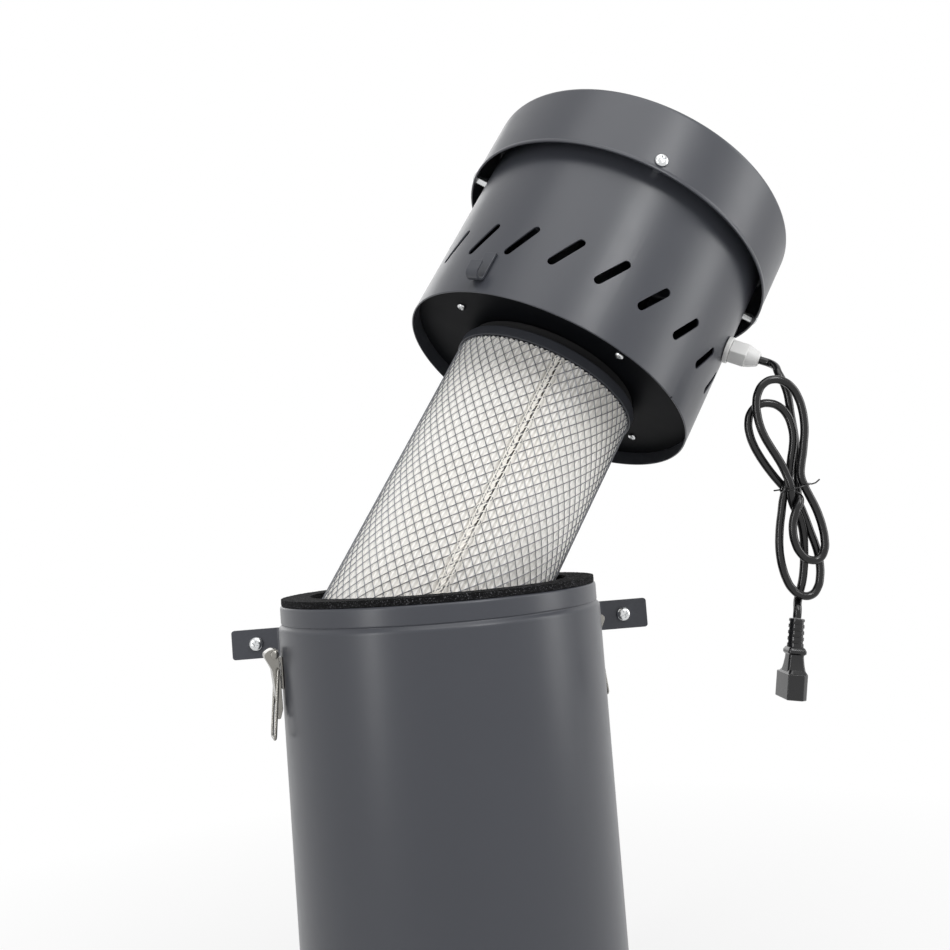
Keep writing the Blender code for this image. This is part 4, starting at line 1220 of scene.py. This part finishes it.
# ---------------------------------------------------------------- head
@dataclass
class Head:
    """The motor head: slotted drum, black plate, closed cap, its screws, catches and cable gland.

    It is made upright about its own axis, its rim at the origin, and then set tilted in the canister's mouth.
    """

    tilt: float = 34.18
    turn: float = 35.7
    lean_azimuth: float = 23.2
    swing_out: float = 0.3315
    swing_down: float = 0.1028
    skirt_drop: float = 0.0064
    rim_height: float = 0.430
    inner: float = 0.1250
    outer: float = 0.1262
    height: float = 0.166
    shelf: float = 0.0138
    shelf_inner: float = 0.092
    shelf_sheet: float = 0.0015
    sheet: float = 0.0012
    cap_radius: float = 0.1383
    cap_bottom: float = 0.139
    cap_top: float = 0.1965
    cap_bead: float = 0.0005
    slot_count: int = 21
    slot_first: float = -120.9
    slot_height: float = 0.0515
    slot_length: float = 0.033
    slot_width: float = 0.0065
    slot_rise: float = 0.029
    slot_edge: float = 0.00045
    plate_low: float = 0.012
    plate_high: float = 0.0135
    intake: float = 0.045
    cap_screw_height: float = 0.148
    cap_screw_first: float = -123.4
    plate_screw_circle: float = 0.098
    plate_screw_first: float = 170.3
    hook_sheet: float = 0.0020
    hook_width: float = 0.0110
    hook_ends: Pair = (0.0360, 0.0215)  # where its back and its nose end
    hook_low: float = 0.0088
    hook_bend: float = 0.0046
    gland_azimuth: float = -52.0
    gland_height: float = 0.086
    gland_length: float = 0.0288
    gland_flats: float = 0.0190
    gland_bore: float = 0.00355
    gland_hole: float = 0.0081
    seam_azimuth: float = -78.6
    weld_azimuth: float = 110.5
    body: ClassVar[str] = "head"

    def frame(self) -> Matrix:
        """The head's place while it rests tilted.

        Returns:
            The matrix from the head's own frame.
        """
        tilt, lean = math.radians(self.tilt), math.radians(self.lean_azimuth)
        x, z = -self.swing_out, self.swing_down - self.skirt_drop
        out = self.swing_out + x * math.cos(tilt) + z * math.sin(tilt)
        rise = -self.swing_down - x * math.sin(tilt) + z * math.cos(tilt)
        rim = Vector((out * math.cos(lean), out * math.sin(lean), self.rim_height + rise))
        axis = Vector((-math.sin(lean), math.cos(lean), 0))
        return Matrix.Translation(rim) @ Matrix.Rotation(tilt, 4, axis) @ about_z(self.turn)

    def build(self) -> None:
        """Makes every piece that stays with the head, but for the motor."""
        self.place = self.frame()
        self.drum()
        self.cap()
        self.intake_plate()
        self.screws()
        for name, azimuth in zip(("front", "rear"), LATCH_AZIMUTHS):
            self.catch(name, azimuth)
        self.gland()
        dress(ZINC, *(f"cap_spacer_{i}" for i in range(1, 5)))

    def slot_tool(self) -> Mesh:
        """The punch of one slot, flared at the wall's face so that the painted edge catches light.

        Returns:
            The punch, along Z, its flare at the origin.
        """
        run, end, flare = (self.slot_length - self.slot_width) / 2, self.slot_width / 2, self.slot_edge
        outline = []
        for side, start in ((1, -90), (-1, 90)):
            for i in range(11):
                angle = math.radians(start + 18 * i)
                outline.append((side * run, end * math.cos(angle), end * math.sin(angle)))
        sections = []
        for depth, grow in ((-0.008, 0.0), (-flare, 0.0), (0.0002, flare), (0.006, flare)):
            swell = 1 + grow / end
            sections.append([(middle + x * swell, y * swell, depth) for middle, x, y in outline])
        return loft(sections)

    def drum(self) -> None:
        """The drum with its inner shelf, its slots, the gland's hole and the open seam at its rim."""
        shelf_top = self.shelf + self.shelf_sheet
        wall = turned(
            [
                (self.inner, self.height, 0.0003), (self.outer, self.height, 0.0004), (self.outer, 0, 0.0007),
                (self.inner, 0, 0.0004), (self.inner, self.shelf, 0), (self.shelf_inner, self.shelf, 0.0004),
                (self.shelf_inner, shelf_top, 0.0004), (self.inner, shelf_top, 0),
            ]
        )
        lean = math.asin((self.slot_rise - self.slot_width) / (self.slot_length - self.slot_width))
        turn = Matrix.Rotation(QUARTER + lean, 4, "Z")
        wall = carve(
            wall,
            join(
                placed(self.slot_tool(), radial(angle, self.outer, self.slot_height) @ turn)
                for angle in around(self.slot_first, self.slot_count)
            ),
        )
        hole = rod(self.gland_hole, 0.01, -0.01, SMALL_STEPS)
        wall = carve(wall, placed(hole, radial(self.gland_azimuth, self.outer, self.gland_height)))
        notch = block((0.006, 0.0016, 0.0030), (self.outer, 0, 0.0002), 0.0004, 2)
        wall = carve(wall, placed(notch, about_z(self.seam_azimuth)))
        seat("drum_wall", placed(wall, self.place), POWDER_COAT, self.body, ["head_drum"])
        line = [(self.outer + 0.00002, 0, z) for z in (0.0022, 0.030, self.cap_bottom - 0.002)]
        weld = placed(wire(line, 0.00035), self.place @ about_z(self.weld_azimuth))
        seat("drum_weld_line", weld, POWDER_COAT, self.body)

    def cap(self) -> None:
        """The closed cap, its crown rounded and its lower edge rolled to a thin bead."""
        r, low, high, wall = self.cap_radius, self.cap_bottom, self.cap_top, self.sheet
        skin = r - self.cap_bead
        crown = turned(
            [
                (0, high, 0), (skin, high, 0.0040), (skin, low + 0.0030, 0.0008), (r, low + 0.0018, 0.0006),
                (r, low, 0.0008), (r - 0.0018, low, 0.0008), (r - 0.0018, low + 0.0022, 0.0006),
                (skin - wall, low + 0.0034, 0.0006), (skin - wall, high - wall, 0.0042), (0, high - wall, 0),
            ],
            False, 6,
        )
        seat("cap_shell", placed(crown, self.place), POWDER_COAT, self.body, ["top_cap"])

    def intake_plate(self) -> None:
        """The flat black plate that closes the drum below, round its intake."""
        low, high, outer = self.plate_low, self.plate_high, self.inner - 0.0003
        ring = turned(
            [
                (self.intake, high, 0.0004), (outer, high, 0.0004), (outer, low, 0.0006),
                (self.intake, low, 0.0006),
            ]
        )
        seat("intake_plate", placed(ring, self.place), BLACK_ENAMEL, self.body, ["base_plate"])

    def screws(self) -> None:
        """The cap's four screws and the plate's four, each turned its own way."""
        cap_screw = PanScrew(head_radius=0.0054, head_height=0.0030, shank_radius=0.0020, tip=-0.013)
        for i, angle in enumerate(around(self.cap_screw_first, 4), 1):
            spot = radial(angle, self.cap_radius - 0.0003, self.cap_screw_height) @ about_z(31 * i)
            screw = placed(cap_screw.shape(), self.place @ spot)
            seat(f"cap_pan_screw_{i}", screw, ZINC, self.body, [f"cap_screw_{i}"])
        plate_screw = PanScrew(head_radius=0.0039, head_height=0.0025, shank_radius=0.0020, tip=-0.007)
        head_down = Matrix.Rotation(math.pi, 4, "X")
        for i, angle in enumerate(around(self.plate_screw_first, 4), 1):
            under = Matrix.Translation((self.plate_screw_circle, 0, self.plate_low)) @ head_down
            screw = placed(plate_screw.shape(), self.place @ about_z(angle) @ under @ about_z(47 * i))
            seat(f"plate_pan_screw_{i}", screw, ZINC, self.body, [f"plate_screw_{i}"])

    def catch(self, name: str, azimuth: float) -> None:
        """A bent hook that a latch's bail pulls on.

        Args:
            name: Which of the two it is.
            azimuth: Where it stands round the drum.
        """
        inner, low, bend = 0.0003 + self.hook_sheet / 2, self.hook_low, self.hook_bend
        back, nose = self.hook_ends
        path = [(inner, back)]
        for i in range(13):
            angle = math.pi * (1 + i / 12)
            path.append((inner + bend + bend * math.cos(angle), low + bend + bend * math.sin(angle)))
        path.append((inner + 2 * bend + 0.0001, nose))
        hook = plate(strip_outline(path, self.hook_sheet), self.hook_width, 0.0004, 3)
        hook = placed(hook, self.place @ side_on(azimuth, self.outer))
        seat(f"{name}_hook", hook, POWDER_COAT, self.body, [f"{name}_catch"])

    def gland(self) -> None:
        """The cable gland: a flange against the drum, a six-sided nut and a dome round the cord."""
        spot = self.place @ radial(self.gland_azimuth, self.outer, self.gland_height)
        bore, tip, inside = self.gland_bore, self.gland_length, -self.sheet - 0.0009
        flange = turned(
            [
                (bore, 0.0120, 0), (0.0070, 0.0120, 0.0003), (0.0070, 0.0046, 0.0004),
                (0.0112, 0.0042, 0.0010), (0.0112, 0.0004, 0.0004), (0.0078, 0.0004, 0), (0.0078, inside, 0),
                (0.0113, inside, 0.0004), (0.0113, inside - 0.0034, 0.0006), (bore, inside - 0.0034, 0.0004),
            ],
            steps=48,
        )
        seat("gland_flange", placed(flange, spot), NYLON, self.body, ["gland_body"])
        corner = self.gland_flats / math.sqrt(3)
        nut = bmesh.new()
        bmesh.ops.create_cone(
            nut, cap_ends=True, cap_tris=False, segments=6, radius1=corner, radius2=corner, depth=0.0140,
            matrix=up(0.0115) @ about_z(30),
        )
        ease_edges(nut, nut.edges[:], 0.0008, 3)
        dome = turned(
            [
                (0, tip, 0), (0.0056, tip, 0.0016), (0.0086, 0.0212, 0.0022), (0.0091, 0.0182, 0.001),
                (0.0091, 0.0170, 0), (0, 0.0170, 0),
            ],
            False, 6, 48,
        )
        drill = lathe([(0, 0.04), (bore, 0.04), (bore, 0.0123), (0.0073, 0.0123), (0.0073, 0), (0, 0)], 48)
        cap_nut = placed(carve(carve(nut, dome, Cut.ONTO), drill), spot)
        seat("gland_cap_nut", cap_nut, NYLON, self.body, ["gland_nut"])


# ---------------------------------------------------------------- motor
@dataclass
class Motor:
    """The suction motor inside the drum, whose turned solids only need their finishes."""

    cast: tuple = ("motor_housing", "motor_frame", "stator", "impeller")
    plated: tuple = ("lower_bearing", "upper_bearing", "motor_shaft")
    moulded: tuple = ("cooling_fan", "left_brush", "right_brush")

    def build(self) -> None:
        """Dresses the motor's solids."""
        dress(CAST_ALUMINIUM, *self.cast)
        dress(ZINC, *self.plated)
        dress(MOULDED_VINYL, *self.moulded)
        dress(WINDINGS, "armature")
        dress(RUBBER, "motor_gasket")


# ---------------------------------------------------------------- cartridge
@dataclass
class Cartridge:
    """The cartridge filter: pleated paper in a tube of expanded metal between two poured end rings."""

    place: Matrix
    radius: float = 0.0785
    bore: float = 0.0430
    media_top: float = -0.0056
    media_bottom: float = -0.2791
    seal_radii: Pair = (0.0560, 0.0745)
    seal_heights: Pair = (0.0038, 0.0117)
    ring_top: float = 0.0035
    ring_bottom: float = -0.0053
    ring_lip: float = 0.0012
    rod_hole: float = 0.0043
    cap_bottom: float = -0.2882
    cells_round: int = 54
    cells_along: int = 27
    strand: float = 0.00072
    pleats: int = 108
    pleat_depth: float = 0.0024
    seam_azimuth: float = -124.0
    seam_twist: float = 0.0100
    seam_reach: float = 0.0026
    seam_shade_share: float = 0.55  # how much of the joint, from the top, has painted shade in its gap
    body: ClassVar[str] = "cartridge"

    def build(self) -> None:
        """Makes the filter from its seal down."""
        self.rings()
        self.paper()
        self.mesh()
        self.seam()
        dress(ZINC, "filter_core", "tie_rod", "wing_nut", "rod_crossbar")

    def rings(self) -> None:
        """The rubber seal and the two end rings."""
        (inner, outer), (low, high) = self.seal_radii, self.seal_heights
        seal = [(inner, high, 0.001), (outer, high, 0.001), (outer, low, 0.001), (inner, low, 0.001)]
        seat("plate_seal", placed(turned(seal, steps=128), self.place), RUBBER, self.body, ["filter_seal"])
        end, top, low, lift = self.radius + 0.0010, self.ring_top, self.ring_bottom, self.ring_bottom + 0.001
        lip = end - self.ring_lip
        ring = [
            (self.bore, top, 0.0006), (end, top, 0.0012), (end, low, 0.0008), (lip, low, 0.0003),
            (lip, lift, 0), (self.bore, lift, 0),
        ]
        ring = placed(turned(ring, steps=160), self.place)
        seat("top_end_ring", ring, POTTED_PLASTIC, self.body, ["filter_top_ring"])
        high, low, hole = self.media_bottom - 0.0003, self.cap_bottom, self.rod_hole
        cap = [(hole, high, 0), (end, high, 0.0008), (end, low, 0.0016), (hole, low, 0.0005)]
        cap = placed(turned(cap, steps=160), self.place)
        seat("bottom_end_cap", cap, POTTED_PLASTIC, self.body, ["filter_bottom_cap"])

    def paper(self) -> None:
        """The folded paper: rounded pleats that press out against the mesh."""
        outer, per_pleat = self.radius - 0.0011, 6
        shape = bmesh.new()
        made = bmesh.ops.create_circle(
            shape, cap_ends=False, radius=outer, segments=self.pleats * per_pleat,
            matrix=up(self.media_bottom),
        )
        for vert in made["verts"]:
            angle = math.atan2(vert.co.y, vert.co.x) * self.pleats / 2
            fold = abs(math.cos(angle)) ** 4
            vert.co.xy *= 1 - self.pleat_depth * fold / outer
        sheet = bmesh.ops.extrude_edge_only(shape, edges=shape.edges[:])
        rise = (0, 0, self.media_top - self.media_bottom)
        bmesh.ops.translate(shape, vec=rise, verts=only_verts(sheet["geom"]))
        bmesh.ops.holes_fill(shape, edges=[edge for edge in shape.edges if edge.is_boundary])
        bmesh.ops.recalc_face_normals(shape, faces=shape.faces)
        core = rod(self.bore + 0.0015, self.media_top + 0.01, self.media_bottom - 0.01, 96)
        seat("pleated_paper", placed(carve(shape, core), self.place), PAPER, self.body, ["filter_media"])

    def mesh(self) -> None:
        """The expanded metal: a tube of diamond cells, each strand a thin flat bar."""
        shape = bmesh.new()
        middle, count = self.radius - 0.0006, self.cells_round
        pitch = (self.media_top - self.media_bottom) / self.cells_along
        half_cell, start = math.pi / count, math.radians(self.seam_azimuth)
        rows = []
        for row in range(2 * self.cells_along + 1):
            height = self.media_bottom + row * pitch / 2
            angles = [start + half_cell * (2 * i + row % 2) for i in range(count)]
            ring = [(middle * math.cos(angle), middle * math.sin(angle), height) for angle in angles]
            rows.append([shape.verts.new(spot) for spot in ring])
        for row in range(2 * self.cells_along - 1):
            low, here, high = rows[row : row + 3]
            odd = row % 2
            for i in range(count):
                left, right = here[(i - 1 + odd) % count], here[(i + odd) % count]
                shape.faces.new((low[i], right, high[i], left))
        bmesh.ops.recalc_face_normals(shape, faces=shape.faces)
        bmesh.ops.wireframe(
            shape, faces=shape.faces[:], thickness=self.strand, offset=0.0, use_replace=True,
            use_boundary=True, use_even_offset=True, use_crease=False, use_relative_offset=False,
            material_offset=0,
        )
        seat("diamond_mesh", placed(shape, self.place), GALVANISED, self.body, ["filter_outer_mesh"])

    def seam(self) -> None:
        """Where the mesh's two edges meet: twisted strands over painted shade in the gap, glued along the
        lower part.
        """
        skin, reach = self.radius - 0.0007, self.seam_reach
        top, bottom = self.media_top - 0.001, self.media_bottom + 0.001
        turn = self.place @ about_z(self.seam_azimuth)
        strands = []
        for phase in (0.0, math.pi):
            points = []
            for i in range(270):
                height = top + (bottom - top) * i / 269
                angle = phase + math.tau * height / self.seam_twist
                points.append((skin - 0.0001 + 0.0004 * math.cos(angle), 0.00060 * math.sin(angle), height))
            strands.append(wire(points, 0.00058, sides=1))
        knots = 3 * self.cells_along
        for side in (-1, 1):
            outer, sliver = [], []
            for i in range(knots + 1):
                height = top + (bottom - top) * i / knots
                outer.append((skin, side * (reach + 0.00020 * (i % 2)), height))
                if i % 3 == 0:
                    sliver.append((skin, side * (reach if i % 2 else 2.4 * reach), height))
                if 0 < i < knots and i % 2:
                    inside = (skin - 0.0001, side * 0.0004, height - 0.0010)
                    strands.append(wire([inside, (skin, side * reach, height + 0.0014)], 0.00040, sides=1))
            strands += [wire(outer, 0.00046, sides=1), wire(sliver, 0.00034, sides=1)]
        seat("mesh_joint", placed(join(strands), turn), SEAM_GLUE, self.body)
        # painted shade: a dark block in the gap under the strands, down to where the glue starts
        split = top + self.seam_shade_share * (bottom - top)
        shade = block((0.0006, 0.0048, top - split), (self.radius - 0.00155, 0, (top + split) / 2), 0.0002, 1)
        seat("joint_painted_shade", placed(shade, turn), SEAM_SHADE, self.body)
        bead = []
        for i in range(90):
            height = split + (bottom - split) * i / 89
            bead.append((self.radius - 0.0018, 0.0010 * noise.noise(Vector((0, 3.1, height * 90))), height))
        seat("glue_bead", placed(wire(bead, 0.0013, sides=2), turn), SEAM_GLUE, self.body)


def main() -> None:
    """Builds the studio, then the object from its lead to its filter."""
    logging.basicConfig(level=logging.INFO, format="%(name)s: %(message)s")
    Studio().build()
    MainsLead().build()
    Canister().build()
    for side, azimuth in zip(("left", "right"), LATCH_AZIMUTHS):
        Latch(side, azimuth).build()
    head = Head()
    head.build()
    Motor().build()
    Cartridge(head.place).build()


if __name__ == "__main__":
    main()
